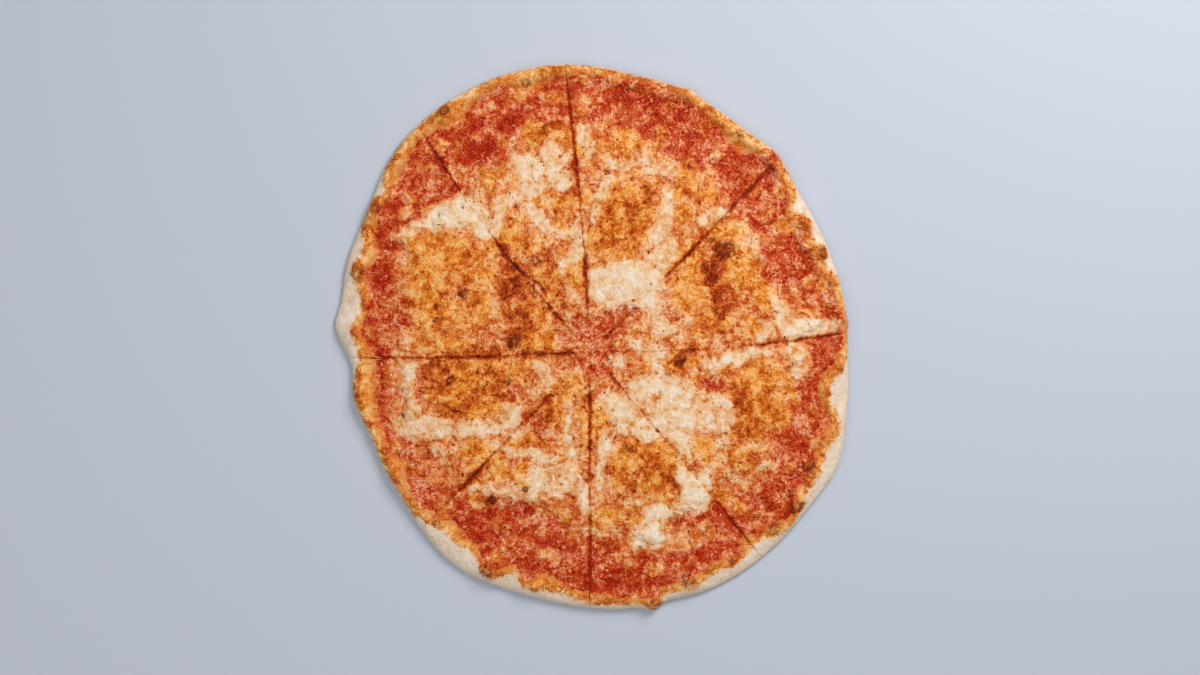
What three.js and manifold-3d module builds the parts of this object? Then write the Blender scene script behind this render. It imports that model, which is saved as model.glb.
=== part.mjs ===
// A thin margherita pizza, baked flat and cut with a wheel into eight slices that still lie together.
// Three layers run through every slice and show at its cut sides: the crust, the tomato sauce and
// the melted cheese.
// Millimetres and degrees, +Z up. The origin is under the middle of the pizza, on its flat underside.

import * as THREE from "three";
import { mergeVertices } from "three/addons/utils/BufferGeometryUtils.js";
import Module from "manifold-3d";

// The whole pizza: an oval, pulled a little out of round where the dough was stretched by hand.
const LONG_DIAMETER = 324;
const SHORT_DIAMETER = 290;
const LONG_AXIS_ANGLE = 117;

// Heights of the layers.
const BED_HEIGHT = 3.4; // dough under the toppings
const CREST_HEIGHT = 6.6; // top of the rim
const EDGE_HEIGHT = 1.3; // thickness of the outermost edge
const UNDERCUT = 1.2; // how far the underside stays back from the edge
const SAUCE_THICKNESS = 0.9;
const CHEESE_THICKNESS = 1.5;
const SEAT_GAP = 0.1; // between layers, so that they touch without overlapping
const THIN_EDGE = 0.3; // share of its thickness that a layer keeps at its edge
const SAUCE_FEATHER = 5; // width over which the sauce thins out to its edge
const CHEESE_FEATHER = 6; // the same for the cheese

// The rim, measured inwards from the edge.
const CREST_INSET = 4.5; // from the end of the pale lip to the crest
const CREST_FALL = 7; // from the crest down to the bed
const SAUCE_INSET = 6.5; // from the end of the pale lip to the sauce
const CHEESE_REACH = 118; // mean radius of the cheese

// The knife: the wheel meets near the middle and opens each cut by this width.
const CUT_CENTRE = new THREE.Vector2(-3, -9);
const KNIFE_WIDTH = 0.8;
const CUT_LENGTH = 190;
const CUT_OVERRUN = 2; // how far each cut runs on past the cut centre
const CUT_STEPS = 24;

// Lobes round an edge: [middle angle, half width in degrees, reach in mm].
const EDGE_LOBES = [
  [45, 6, 3.5],
  [69, 2.5, 2],
  [83, 9, -1.8],
  [152, 12, -5],
  [170, 5, -1.2],
  [177.5, 3.5, 2.8],
  [187, 5, -4.2],
  [204, 6, -1.6],
  [238, 14, 6.6],
  [282.3, 1.8, 3.2],
  [286, 5, -1.6],
  [332, 8, 4],
  [355, 8, -1.6],
];
const LIP_LOBES = [
  [18, 3, 5],
  [24.5, 3, 6],
  [32, 2.6, 7],
  [146, 2.2, 5],
  [160, 3, 5],
  [173, 8, 11],
  [184, 3.5, 3],
  [232, 5, 7],
  [240, 4, 8],
  [250.5, 2.4, 8],
  [262, 6, 5],
  [275, 6, 2.5],
  [286, 4, 4],
  [297, 6, 7],
  [308, 5, 8],
  [324, 5, 6],
  [333, 5, 9],
  [347, 5, 9.5],
];
const SAUCE_LOBES = [
  [3, 5, 5],
  [22, 8, 2],
  [45, 3, 5],
  [54, 6, -5],
  [80, 9, 3.5],
  [104, 4, -6],
  [123, 5, -7],
  [139, 5, -3],
  [158, 5, -4],
  [192, 9, -7],
  [213, 3, -6],
  [234, 5, -4],
  [258, 3, -4],
  [280, 9, 2.5],
  [345, 6, -3],
];
const CHEESE_LOBES = [
  [4, 3.5, 20],
  [20, 7, -13],
  [34, 7, -5],
  [47, 5, -10],
  [101, 12, 10],
  [132, 7, -5],
  [153, 2.5, 14],
  [172, 5, 8],
  [207, 6, 9],
  [252, 9, -11],
  [286, 5, 11],
  [323, 6, 10],
  [354, 4, 8],
];

// The eight cuts, one after another round the pizza: the angle at which each leaves the cut centre,
// how far it bows to its left, and where it gapes: [distance from the centre, half length, extra width].
const CUTS = [
  { angle: 4.3, bow: -3.6, gapes: [[136, 12, 0.9]] },
  { angle: 45.8, bow: -1.2, gapes: [[128, 13, 1.9], [84, 8, 0.9]] },
  { angle: 95, bow: -1.7, gapes: [[155, 9, 1.2], [122, 10, 0.6]] },
  { angle: 127.4, bow: 4.4, gapes: [[72, 11, 1.4], [142, 14, 1.3]] },
  { angle: 181.3, bow: 1.4, gapes: [[122, 9, 1.6], [68, 14, 1], [20, 9, 1.2]] },
  { angle: 226.4, bow: 0.4, gapes: [[97, 10, 2.6], [52, 9, 0.7]] },
  { angle: 270, bow: 0, gapes: [[142, 9, 1.3], [52, 8, 0.4]] },
  { angle: 309.8, bow: 1, gapes: [[132, 13, 2.1]] },
];

// Air bubbles that rose in the rim: [angle, distance in from the edge, radius, height].
const BUBBLES = [
  [20.5, 4, 5.5, 2.6],
  [28, 6, 3.5, 1.4],
  [45.5, 5, 5, 1.2],
  [69.5, 3, 5, 1.5],
  [81.5, 2.5, 4, 1],
  [99, 3.5, 5, 1.3],
  [111.5, 3.5, 6, 1.5],
  [123.5, 5, 7, 2],
  [138.5, 6, 6, 1.6],
  [150, 5, 8, 2.4],
  [164.5, 8, 5, 2.6],
  [179, 12, 6, 1.4],
  [195, 4, 7, 1.5],
  [215, 4.5, 7, 1.3],
  [237, 14, 5, 1],
  [245.5, 10, 7, 2.2],
  [256, 8, 5, 2.1],
  [282.3, 2.5, 5, 2.6],
  [291.5, 9, 5.5, 2.2],
  [297, 14, 4.5, 1.6],
  [320, 8, 6.5, 1.8],
  [328.5, 13, 5, 1.6],
  [336.5, 16, 6, 1.7],
  [352.5, 8, 5.5, 1.6],
];

// Low swells in the dough, and thick pools and blisters in the cheese: [x, y, radius, height].
const SWELLS = [
  [72, 46, 34, 0.9],
  [15, 66, 32, 0.8],
  [-30, 46, 22, 0.6],
  [-90, 30, 38, 1],
  [-74, -30, 30, 0.8],
  [-46, -82, 30, 0.5],
  [33, -76, 24, 1],
  [94, -40, 28, 1],
  [45, -30, 30, 0.4],
];
const POOLS = [
  [14, 34, 15, 0.8],
  [28, 33, 10, 0.7],
  [98, 10, 15, 0.6],
  [122, 5, 10, 0.6],
  [75, 50, 9, 0.8],
  [86, 36, 13, 0.7],
  [15, 75, 17, 0.5],
  [10, 105, 14, 0.5],
  [45, 88, 12, 0.4],
  [-48, 66, 16, 0.6],
  [-25, 98, 14, 0.5],
  [-30, 122, 9, 0.6],
  [-34, 44, 9, 0.6],
  [-80, 70, 16, 0.7],
  [-96, 34, 15, 0.7],
  [-60, 26, 12, 0.4],
  [-90, 4, 12, 0.5],
  [-46, -2, 7, 0.8],
  [-108, -38, 13, 0.6],
  [-78, -31, 13, 0.7],
  [-80, -54, 15, 0.6],
  [-40, -80, 19, 0.6],
  [-22, -50, 12, 0.4],
  [33, -76, 15, 1],
  [10, -48, 14, 0.6],
  [56, -97, 14, 0.6],
  [32, -118, 10, 0.6],
  [52, -16, 10, 0.9],
  [46, -42, 17, 0.6],
  [96, -40, 14, 0.8],
  [98, -74, 12, 0.6],
  [116, -18, 10, 0.5],
];

// How finely each surface is faceted: the spacing of its rings and of the points along them.
const DOUGH_STEP = 21;
const RIM_STEP = 6.4;
const SAUCE_STEP = 19;
const CHEESE_STEP = 11;
const CORE_INSET = 34; // the coarse middle of the dough ends this far in from the oval
const EDGE_SHARE = 0.12; // share of a poured layer's radius that is faceted as finely as the rim
const FALL_RINGS = [1, 0.5, 0]; // shares of the fall from the crest to the bed, from the bed up
const CLIMB_RINGS = [0.6, 0.25, 0.06, 0]; // shares of the climb from the edge, from the crest out
const FEWEST_SIDES = 6;

const CRUST = new THREE.MeshStandardMaterial({ color: 0xe8c48c, roughness: 0.85, metalness: 0 });
const SAUCE = new THREE.MeshStandardMaterial({ color: 0xb93a20, roughness: 0.35, metalness: 0 });
const CHEESE = new THREE.MeshStandardMaterial({ color: 0xecc78e, roughness: 0.4, metalness: 0 });

const { clamp, degToRad, euclideanModulo, radToDeg, smoothstep } = THREE.MathUtils;

// The shape of the pizza, as functions of the angle or of the place on it.

function bell(distance, halfWidth) {
  return Math.exp(-((distance / halfWidth) ** 2));
}

function lobes(list, angle) {
  const turn = (middle) => euclideanModulo(angle - middle + 180, 360) - 180;
  return list.reduce((sum, [middle, width, reach]) => sum + reach * bell(turn(middle), width), 0);
}

function mounds(list, x, y) {
  return list.reduce((sum, [mx, my, radius, height]) => {
    return sum + height * bell(Math.hypot(x - mx, y - my), radius);
  }, 0);
}

function ovalRadius(angle) {
  const mean = (LONG_DIAMETER + SHORT_DIAMETER) / 4;
  const swing = (LONG_DIAMETER - SHORT_DIAMETER) / 4;
  return mean + swing * Math.cos(degToRad(2 * (angle - LONG_AXIS_ANGLE)));
}

function edgeRadius(angle) {
  return ovalRadius(angle) + lobes(EDGE_LOBES, angle);
}

function lipWidth(angle) {
  return lobes(LIP_LOBES, angle);
}

function sauceRadius(angle) {
  return edgeRadius(angle) - lipWidth(angle) - SAUCE_INSET + lobes(SAUCE_LOBES, angle);
}

function cheeseRadius(angle) {
  return CHEESE_REACH + lobes(CHEESE_LOBES, angle);
}

function polar(x, y) {
  return [radToDeg(Math.atan2(y, x)), Math.hypot(x, y)];
}

const bubblesInPlace = BUBBLES.map(([angle, inset, radius, height]) => {
  const from = edgeRadius(angle) - inset;
  return [from * Math.cos(degToRad(angle)), from * Math.sin(degToRad(angle)), radius, height];
});

function doughHeight(x, y) {
  const [angle, r] = polar(x, y);
  const inwards = edgeRadius(angle) - r;
  const crest = lipWidth(angle) + CREST_INSET;
  const climb = 1 - clamp(inwards / crest, 0, 1);
  const rise = Math.sqrt(1 - climb * climb);
  const fall = smoothstep(inwards, crest, crest + CREST_FALL);
  const rim = EDGE_HEIGHT + (CREST_HEIGHT - EDGE_HEIGHT) * rise - (CREST_HEIGHT - BED_HEIGHT) * fall;
  return rim + fall * mounds(SWELLS, x, y) + rise * mounds(bubblesInPlace, x, y);
}

function feather(inwards, width) {
  return clamp(THIN_EDGE + inwards / width, THIN_EDGE, 1);
}

function sauceHeight(x, y) {
  const [angle, r] = polar(x, y);
  const thickness = SAUCE_THICKNESS * feather(sauceRadius(angle) - r, SAUCE_FEATHER);
  return doughHeight(x, y) + SEAT_GAP + thickness;
}

function cheeseHeight(x, y) {
  const [angle, r] = polar(x, y);
  const whole = CHEESE_THICKNESS + mounds(POOLS, x, y);
  return sauceHeight(x, y) + SEAT_GAP + whole * feather(cheeseRadius(angle) - r, CHEESE_FEATHER);
}

// Closed bodies built ring by ring, each ring a list of points that runs once round.

function ringAt(radiusOf, heightOf, sides) {
  return Array.from({ length: sides }, (_, i) => {
    const angle = (360 * i) / sides;
    const x = radiusOf(angle) * Math.cos(degToRad(angle));
    const y = radiusOf(angle) * Math.sin(degToRad(angle));
    return [x, y, heightOf(x, y)];
  });
}

function sidesFor(radius, step) {
  return Math.max(Math.round((2 * Math.PI * radius) / step), FEWEST_SIDES);
}

// Rings evenly spaced from the middle out to a radius, all of its shape.
function evenRings(radiusOf, heightOf, step) {
  const rounds = Math.round(radiusOf(0) / step);
  return Array.from({ length: rounds }, (_, i) => {
    const share = (i + 1) / rounds;
    return ringAt((angle) => share * radiusOf(angle), heightOf, sidesFor(share * radiusOf(0), step));
  });
}

// Triangles between two rings that may have different numbers of points.
function zip(inner, outer) {
  const triangles = [];
  let i = 0;
  let o = 0;
  while (i < inner.length || o < outer.length) {
    const a = inner[i % inner.length];
    const b = outer[o % outer.length];
    const outerIsNext = i === inner.length || (o + 1) * inner.length <= (i + 1) * outer.length;
    if (o < outer.length && outerIsNext) {
      o += 1;
      triangles.push(a, b, outer[o % outer.length]);
    } else {
      i += 1;
      triangles.push(a, b, inner[i % inner.length]);
    }
  }
  return triangles;
}

function fan(centre, ring) {
  return ring.flatMap((point, i) => [centre, point, ring[(i + 1) % ring.length]]);
}

// A body with a top surface made of rings, a wall down from the last ring and a flat base.
function mouldedBody(heightOf, rings, baseRing) {
  const triangles = [
    ...fan([0, 0, heightOf(0, 0)], rings[0]),
    ...rings.slice(1).flatMap((ring, i) => zip(rings[i], ring)),
    ...zip(rings[rings.length - 1], baseRing),
    ...fan([0, 0, 0], baseRing.toReversed()),
  ];
  const geometry = new THREE.BufferGeometry();
  geometry.setAttribute("position", new THREE.Float32BufferAttribute(triangles.flat(), 3));
  return toSolid(geometry);
}

// Between three.js geometry and the solids that can be cut and joined.

const wasm = await Module();
wasm.setup();

function toSolid(geometry) {
  const bare = geometry.index ? geometry.toNonIndexed() : geometry;
  const positions = new THREE.BufferGeometry();
  positions.setAttribute("position", bare.getAttribute("position"));
  const merged = mergeVertices(positions, 1e-3);
  const mesh = new wasm.Mesh({
    numProp: 3,
    vertProperties: merged.getAttribute("position").array,
    triVerts: new Uint32Array(merged.index.array),
  });
  return new wasm.Manifold(mesh);
}

function toGeometry(solid) {
  const { vertProperties, triVerts } = solid.getMesh();
  const geometry = new THREE.BufferGeometry();
  geometry.setAttribute("position", new THREE.BufferAttribute(vertProperties, 3));
  geometry.setIndex(new THREE.BufferAttribute(triVerts, 1));
  geometry.computeVertexNormals();
  return geometry;
}

// The layers of the uncut pizza.

function wholeCrust() {
  const crestRadius = (angle) => edgeRadius(angle) - lipWidth(angle) - CREST_INSET;
  const sides = sidesFor(ovalRadius(0), RIM_STEP);
  const rings = [
    ...evenRings((angle) => ovalRadius(angle) - CORE_INSET, doughHeight, DOUGH_STEP),
    ...FALL_RINGS.map((share) => {
      return ringAt((angle) => crestRadius(angle) - share * CREST_FALL, doughHeight, sides);
    }),
    ...CLIMB_RINGS.map((share) => {
      const radius = (angle) => THREE.MathUtils.lerp(edgeRadius(angle), crestRadius(angle), share);
      return ringAt(radius, doughHeight, sides);
    }),
  ];
  const base = ringAt((angle) => edgeRadius(angle) - UNDERCUT, () => 0, sides);
  return mouldedBody(doughHeight, rings, base);
}

// The body under the top of a layer, all the way down.
function pouredBody(radiusOf, heightOf, step) {
  const sides = sidesFor(radiusOf(0), RIM_STEP);
  const rings = [
    ...evenRings((angle) => (1 - EDGE_SHARE) * radiusOf(angle), heightOf, step),
    ringAt((angle) => (1 - EDGE_SHARE / 2) * radiusOf(angle), heightOf, sides),
    ringAt(radiusOf, heightOf, sides),
  ];
  return mouldedBody(heightOf, rings, ringAt(radiusOf, () => 0, sides));
}

// What is left of a body on top of the layers below it.
function seatedOn(body, below) {
  return below.reduce((rest, layer) => rest.subtract(layer.translate([0, 0, SEAT_GAP])), body);
}

// The knife and the slices.

// One cut of the wheel as an upright blade: a bowed strip, wider where the cut gapes.
function blade({ angle, bow, gapes }) {
  const along = new THREE.Vector2(Math.cos(degToRad(angle)), Math.sin(degToRad(angle)));
  const left = new THREE.Vector2(-along.y, along.x);
  const reach = edgeRadius(angle);
  const side = (sign) => {
    return Array.from({ length: CUT_STEPS + 1 }, (_, i) => {
      const distance = (CUT_LENGTH * i) / CUT_STEPS - CUT_OVERRUN;
      const share = distance / reach;
      const open = gapes.reduce((sum, [at, half, extra]) => sum + extra * bell(distance - at, half), 0);
      const sideways = 4 * bow * share * (1 - share) + (sign * (KNIFE_WIDTH + open)) / 2;
      return CUT_CENTRE.clone().addScaledVector(along, distance).addScaledVector(left, sideways);
    });
  };
  const outline = new THREE.Shape([...side(-1), ...side(1).reverse()]);
  const height = 4 * CREST_HEIGHT;
  const strip = new THREE.ExtrudeGeometry(outline, { depth: height, bevelEnabled: false });
  return toSolid(strip.translate(0, 0, -height / 2));
}

// The pieces that the knife leaves of one layer, in order round the pizza from the first cut.
function slices(layer, knife) {
  const pieces = layer.subtract(knife).decompose();
  const found = CUTS.map(() => null);
  pieces.forEach((piece) => {
    const { min, max } = piece.boundingBox();
    const angle = polar((min[0] + max[0]) / 2 - CUT_CENTRE.x, (min[1] + max[1]) / 2 - CUT_CENTRE.y)[0];
    const passed = CUTS.filter((cut) => cut.angle < euclideanModulo(angle, 360)).length;
    const slice = (passed + CUTS.length - 1) % CUTS.length;
    if (!found[slice] || piece.volume() > found[slice].volume()) found[slice] = piece;
  });
  return found;
}

function mesh(name, solid, material) {
  const made = new THREE.Mesh(toGeometry(solid), material);
  made.name = name;
  return made;
}

const crust = wholeCrust();
const sauceBody = pouredBody(sauceRadius, sauceHeight, SAUCE_STEP);
const cheeseBody = pouredBody(cheeseRadius, cheeseHeight, CHEESE_STEP);
const sauce = seatedOn(sauceBody, [crust]);
const cheese = seatedOn(cheeseBody, [crust, sauceBody]);
const knife = CUTS.map(blade).reduce((joined, cut) => joined.add(cut));

const pizza = new THREE.Group();
const layers = { crust: [crust, CRUST], sauce: [sauce, SAUCE], cheese: [cheese, CHEESE] };
for (const [layer, [solid, material]] of Object.entries(layers)) {
  slices(solid, knife).forEach((piece, i) => {
    pizza.add(mesh(`slice_${i + 1}_${layer}`, piece, material));
  });
}

export default pizza;
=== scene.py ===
"""A thin margherita pizza, cut with a wheel into eight slices that still lie together.

Each slice has three layers, all closed meshes: the baked crust, the tomato sauce and the melted cheese.
Small curds and torn shreds of cheese, herbs and toasted crumbs lie on them.
In the shape functions lengths are millimetres and angles are degrees, about the middle of the pizza.
"""

import math

import bpy
import numpy as np
from bpy.props import FloatProperty, FloatVectorProperty, IntProperty, PointerProperty
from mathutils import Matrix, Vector


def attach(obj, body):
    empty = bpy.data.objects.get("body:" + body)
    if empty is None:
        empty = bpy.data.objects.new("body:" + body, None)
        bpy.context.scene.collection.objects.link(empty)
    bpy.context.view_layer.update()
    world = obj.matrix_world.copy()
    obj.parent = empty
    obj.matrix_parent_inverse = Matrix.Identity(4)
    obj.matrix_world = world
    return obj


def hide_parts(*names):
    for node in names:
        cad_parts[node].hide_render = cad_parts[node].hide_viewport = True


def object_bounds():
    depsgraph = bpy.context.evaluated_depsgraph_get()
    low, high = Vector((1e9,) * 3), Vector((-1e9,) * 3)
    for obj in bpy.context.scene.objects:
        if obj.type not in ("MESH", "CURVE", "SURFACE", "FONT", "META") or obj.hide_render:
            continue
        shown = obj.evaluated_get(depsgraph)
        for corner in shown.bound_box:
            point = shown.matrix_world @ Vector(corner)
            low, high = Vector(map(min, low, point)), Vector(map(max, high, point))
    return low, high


bl_info = {
    "name": "Margherita pizza",
    "version": (1, 0, 0),
    "blender": (4, 5, 0),
    "location": "View3D > Sidebar > Pizza",
    "description": "Builds a sliced margherita pizza round its packed solids",
    "category": "Object",
}

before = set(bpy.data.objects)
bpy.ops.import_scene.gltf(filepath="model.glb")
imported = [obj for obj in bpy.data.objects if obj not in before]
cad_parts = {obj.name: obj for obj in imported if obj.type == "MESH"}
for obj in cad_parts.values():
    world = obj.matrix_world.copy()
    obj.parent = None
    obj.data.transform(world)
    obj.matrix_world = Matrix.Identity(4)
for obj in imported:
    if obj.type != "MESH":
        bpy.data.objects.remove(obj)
CAD_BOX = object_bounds()

MM = 0.001
BODY = "root"
SLICES = range(1, 9)

# --- shape ---

# The outline is an oval: its mean radius, how far its long radius exceeds that, and the long radius's angle.
MEAN_RADIUS = 153.5
OVAL_REACH = 8.5
OVAL_ANGLE = 117
SAUCE_MARGIN = 6.5  # of bare crust between the lip and the sauce
MEAN_CHEESE = 118

# Lobes round an edge: (middle angle, half width in degrees, reach).
EDGE_LOBES = [
    (45, 6, 3.5), (69, 2.5, 2), (83, 9, -1.8), (152, 12, -5), (170, 5, -1.2), (177.5, 3.5, 2.8), (187, 5, -4.2),
    (204, 6, -1.6), (238, 14, 6.6), (282.3, 1.8, 3.2), (286, 5, -1.6), (332, 8, 4), (355, 8, -1.6),
]
LIP_LOBES = [
    (18, 3, 5), (24.5, 3, 6), (32, 2.6, 7), (146, 2.2, 5), (160, 3, 5), (173, 8, 11), (184, 3.5, 3), (232, 5, 7),
    (240, 4, 8), (250.5, 2.4, 8), (262, 6, 5), (275, 6, 2.5), (286, 4, 4), (297, 6, 7), (308, 5, 8), (324, 5, 6),
    (333, 5, 9), (347, 5, 9.5),
]
SAUCE_LOBES = [
    (3, 5, 5), (22, 8, 2), (45, 3, 5), (54, 6, -5), (80, 9, 3.5), (104, 4, -6), (123, 5, -7), (139, 5, -3),
    (158, 5, -4), (192, 9, -7), (213, 3, -6), (234, 5, -4), (258, 3, -4), (280, 9, 2.5), (345, 6, -3),
]
CHEESE_LOBES = [
    (4, 3.5, 20), (20, 7, -13), (34, 7, -5), (47, 5, -10), (101, 12, 10), (132, 7, -5), (153, 2.5, 14), (172, 5, 8),
    (207, 6, 9), (252, 9, -11), (286, 5, 11), (323, 6, 10), (354, 4, 8),
]

# How much wider than the lip the flour lies.
FLOUR_LOBES = [(238, 9, 3.5), (256, 5, 2), (180, 7, 2.5), (122, 8, 1.5), (344, 7, 1.5)]

# The cuts, round the pizza: the angle of each, how far it bows to its left, where it gapes
# (distance from the cut centre, half length, extra width) and where its edges are painted darker, browner
# and redder, painted shade of the cut (distance, half length, strength).
CUTS = [
    (4.3, -3.6, [(136, 12, 0.9), (56, 8, 0.3)], [(58, 8, 0.5), (100, 10, 0.5), (128, 14, 0.8)]),
    (45.8, -1.2, [(128, 13, 1.9), (84, 8, 0.9), (18, 7, 0.4)], [(16, 8, 0.8), (80, 18, 0.9), (128, 16, 1)]),
    (95, -1.7, [(155, 9, 1.2), (122, 10, 0.6), (44, 20, 0.4)], [(46, 26, 0.9), (120, 30, 0.9)]),
    (127.4, 4.4, [(72, 11, 1.2), (142, 14, 1.3), (32, 14, 0.4)], [(28, 16, 0.7), (72, 16, 1), (142, 14, 0.8)]),
    (181.3, 1.4, [(122, 9, 1.6), (68, 14, 1), (20, 9, 1.2)], [(20, 16, 1), (70, 26, 1), (122, 12, 0.9)]),
    (226.4, 0.4, [(97, 10, 2.6), (52, 9, 0.7)], [(50, 14, 0.7), (96, 16, 1)]),
    (270, 0, [(142, 9, 1.3), (50, 12, 0.5), (110, 24, 0.3)], [(24, 14, 0.7), (52, 14, 0.9), (120, 36, 0.8)]),
    (309.8, 1, [(132, 13, 2.1), (24, 9, 0.4)], [(24, 12, 0.8), (64, 12, 0.5), (130, 20, 0.9)]),
]
CUT_CENTRE = (-3.0, -9.0)
KNIFE_WIDTH = 0.07  # the toppings flowed back together behind the wheel

# Air bubbles that rose in the rim: (angle, distance in from the edge, radius, height).
BUBBLES = [
    (20.5, 4, 5.5, 2.6), (28, 6, 3.5, 1.4), (45.5, 5, 5, 1.2), (69.5, 3, 5, 1.5), (81.5, 2.5, 4, 1),
    (99, 3.5, 5, 1.3), (111.5, 3.5, 6, 1.5), (123.5, 5, 7, 2), (138.5, 6, 6, 1.6), (150, 5, 8, 2.4),
    (164.5, 8, 5, 2.6), (179, 12, 6, 1.4), (195, 4, 7, 1.5), (215, 4.5, 7, 1.3), (237, 14, 5, 1), (245.5, 10, 7, 2.2),
    (256, 8, 5, 2.1), (282.3, 2.5, 5, 2.6), (291.5, 9, 5.5, 2.2), (297, 14, 4.5, 1.6), (320, 8, 6.5, 1.8),
    (328.5, 13, 5, 1.6), (336.5, 16, 6, 1.7), (352.5, 8, 5.5, 1.6),
]
# Low swells in the dough, and thick pools and blisters in the cheese: (x, y, radius, height).
SWELLS = [
    (72, 46, 34, 0.9), (15, 66, 32, 0.8), (-30, 46, 22, 0.6), (-90, 30, 38, 1), (-74, -30, 30, 0.8),
    (-46, -82, 30, 0.5), (33, -76, 24, 1), (94, -40, 28, 1), (45, -30, 30, 0.4),
]
POOLS = [
    (14, 34, 15, 0.8), (28, 33, 10, 0.7), (98, 10, 15, 0.6), (122, 5, 10, 0.6), (75, 50, 9, 0.8), (86, 36, 13, 0.7),
    (15, 75, 17, 0.5), (10, 105, 14, 0.5), (45, 88, 12, 0.4), (-48, 66, 16, 0.6), (-25, 98, 14, 0.5),
    (-30, 122, 9, 0.6), (-34, 44, 9, 0.6), (-80, 70, 16, 0.7), (-96, 34, 15, 0.7), (-60, 26, 12, 0.4),
    (-90, 4, 12, 0.5), (-46, -2, 7, 0.8), (-108, -38, 13, 0.6), (-78, -31, 13, 0.7), (-80, -54, 15, 0.6),
    (-40, -80, 19, 0.6), (-22, -50, 12, 0.4), (33, -76, 15, 1), (10, -48, 14, 0.6), (56, -97, 14, 0.6),
    (32, -118, 10, 0.6), (52, -16, 10, 0.9), (46, -42, 17, 0.6), (96, -40, 14, 0.8), (98, -74, 12, 0.6),
    (116, -18, 10, 0.5),
]

# Heights of the layers and widths of their edges.
BED_HEIGHT = 3.4
CREST_HEIGHT = 6.6
EDGE_HEIGHT = 1.3
UNDERCUT = 1.2
CREST_INSET = 4.5
CREST_FALL = 7
SAUCE_THICKNESS = 0.9
CHEESE_THICKNESS = 1.5
SUNK = 0.35  # how far a layer lies in the one below, which makes room for it
ROOM = 0.02  # and how much more is taken out of that one, so that the two don't touch

# Distances between what lies scattered in the surfaces.
CURD_SPACING = 3.3
FRECKLE_SPACING = 4.2
ISLAND_SPACING = 15
BLISTER_SPACING = 5.2
HOLE_SPACING = 2.3
FINISH_SHARPNESS = 8.2  # how abruptly one finish of the toppings gives way to the next

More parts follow.
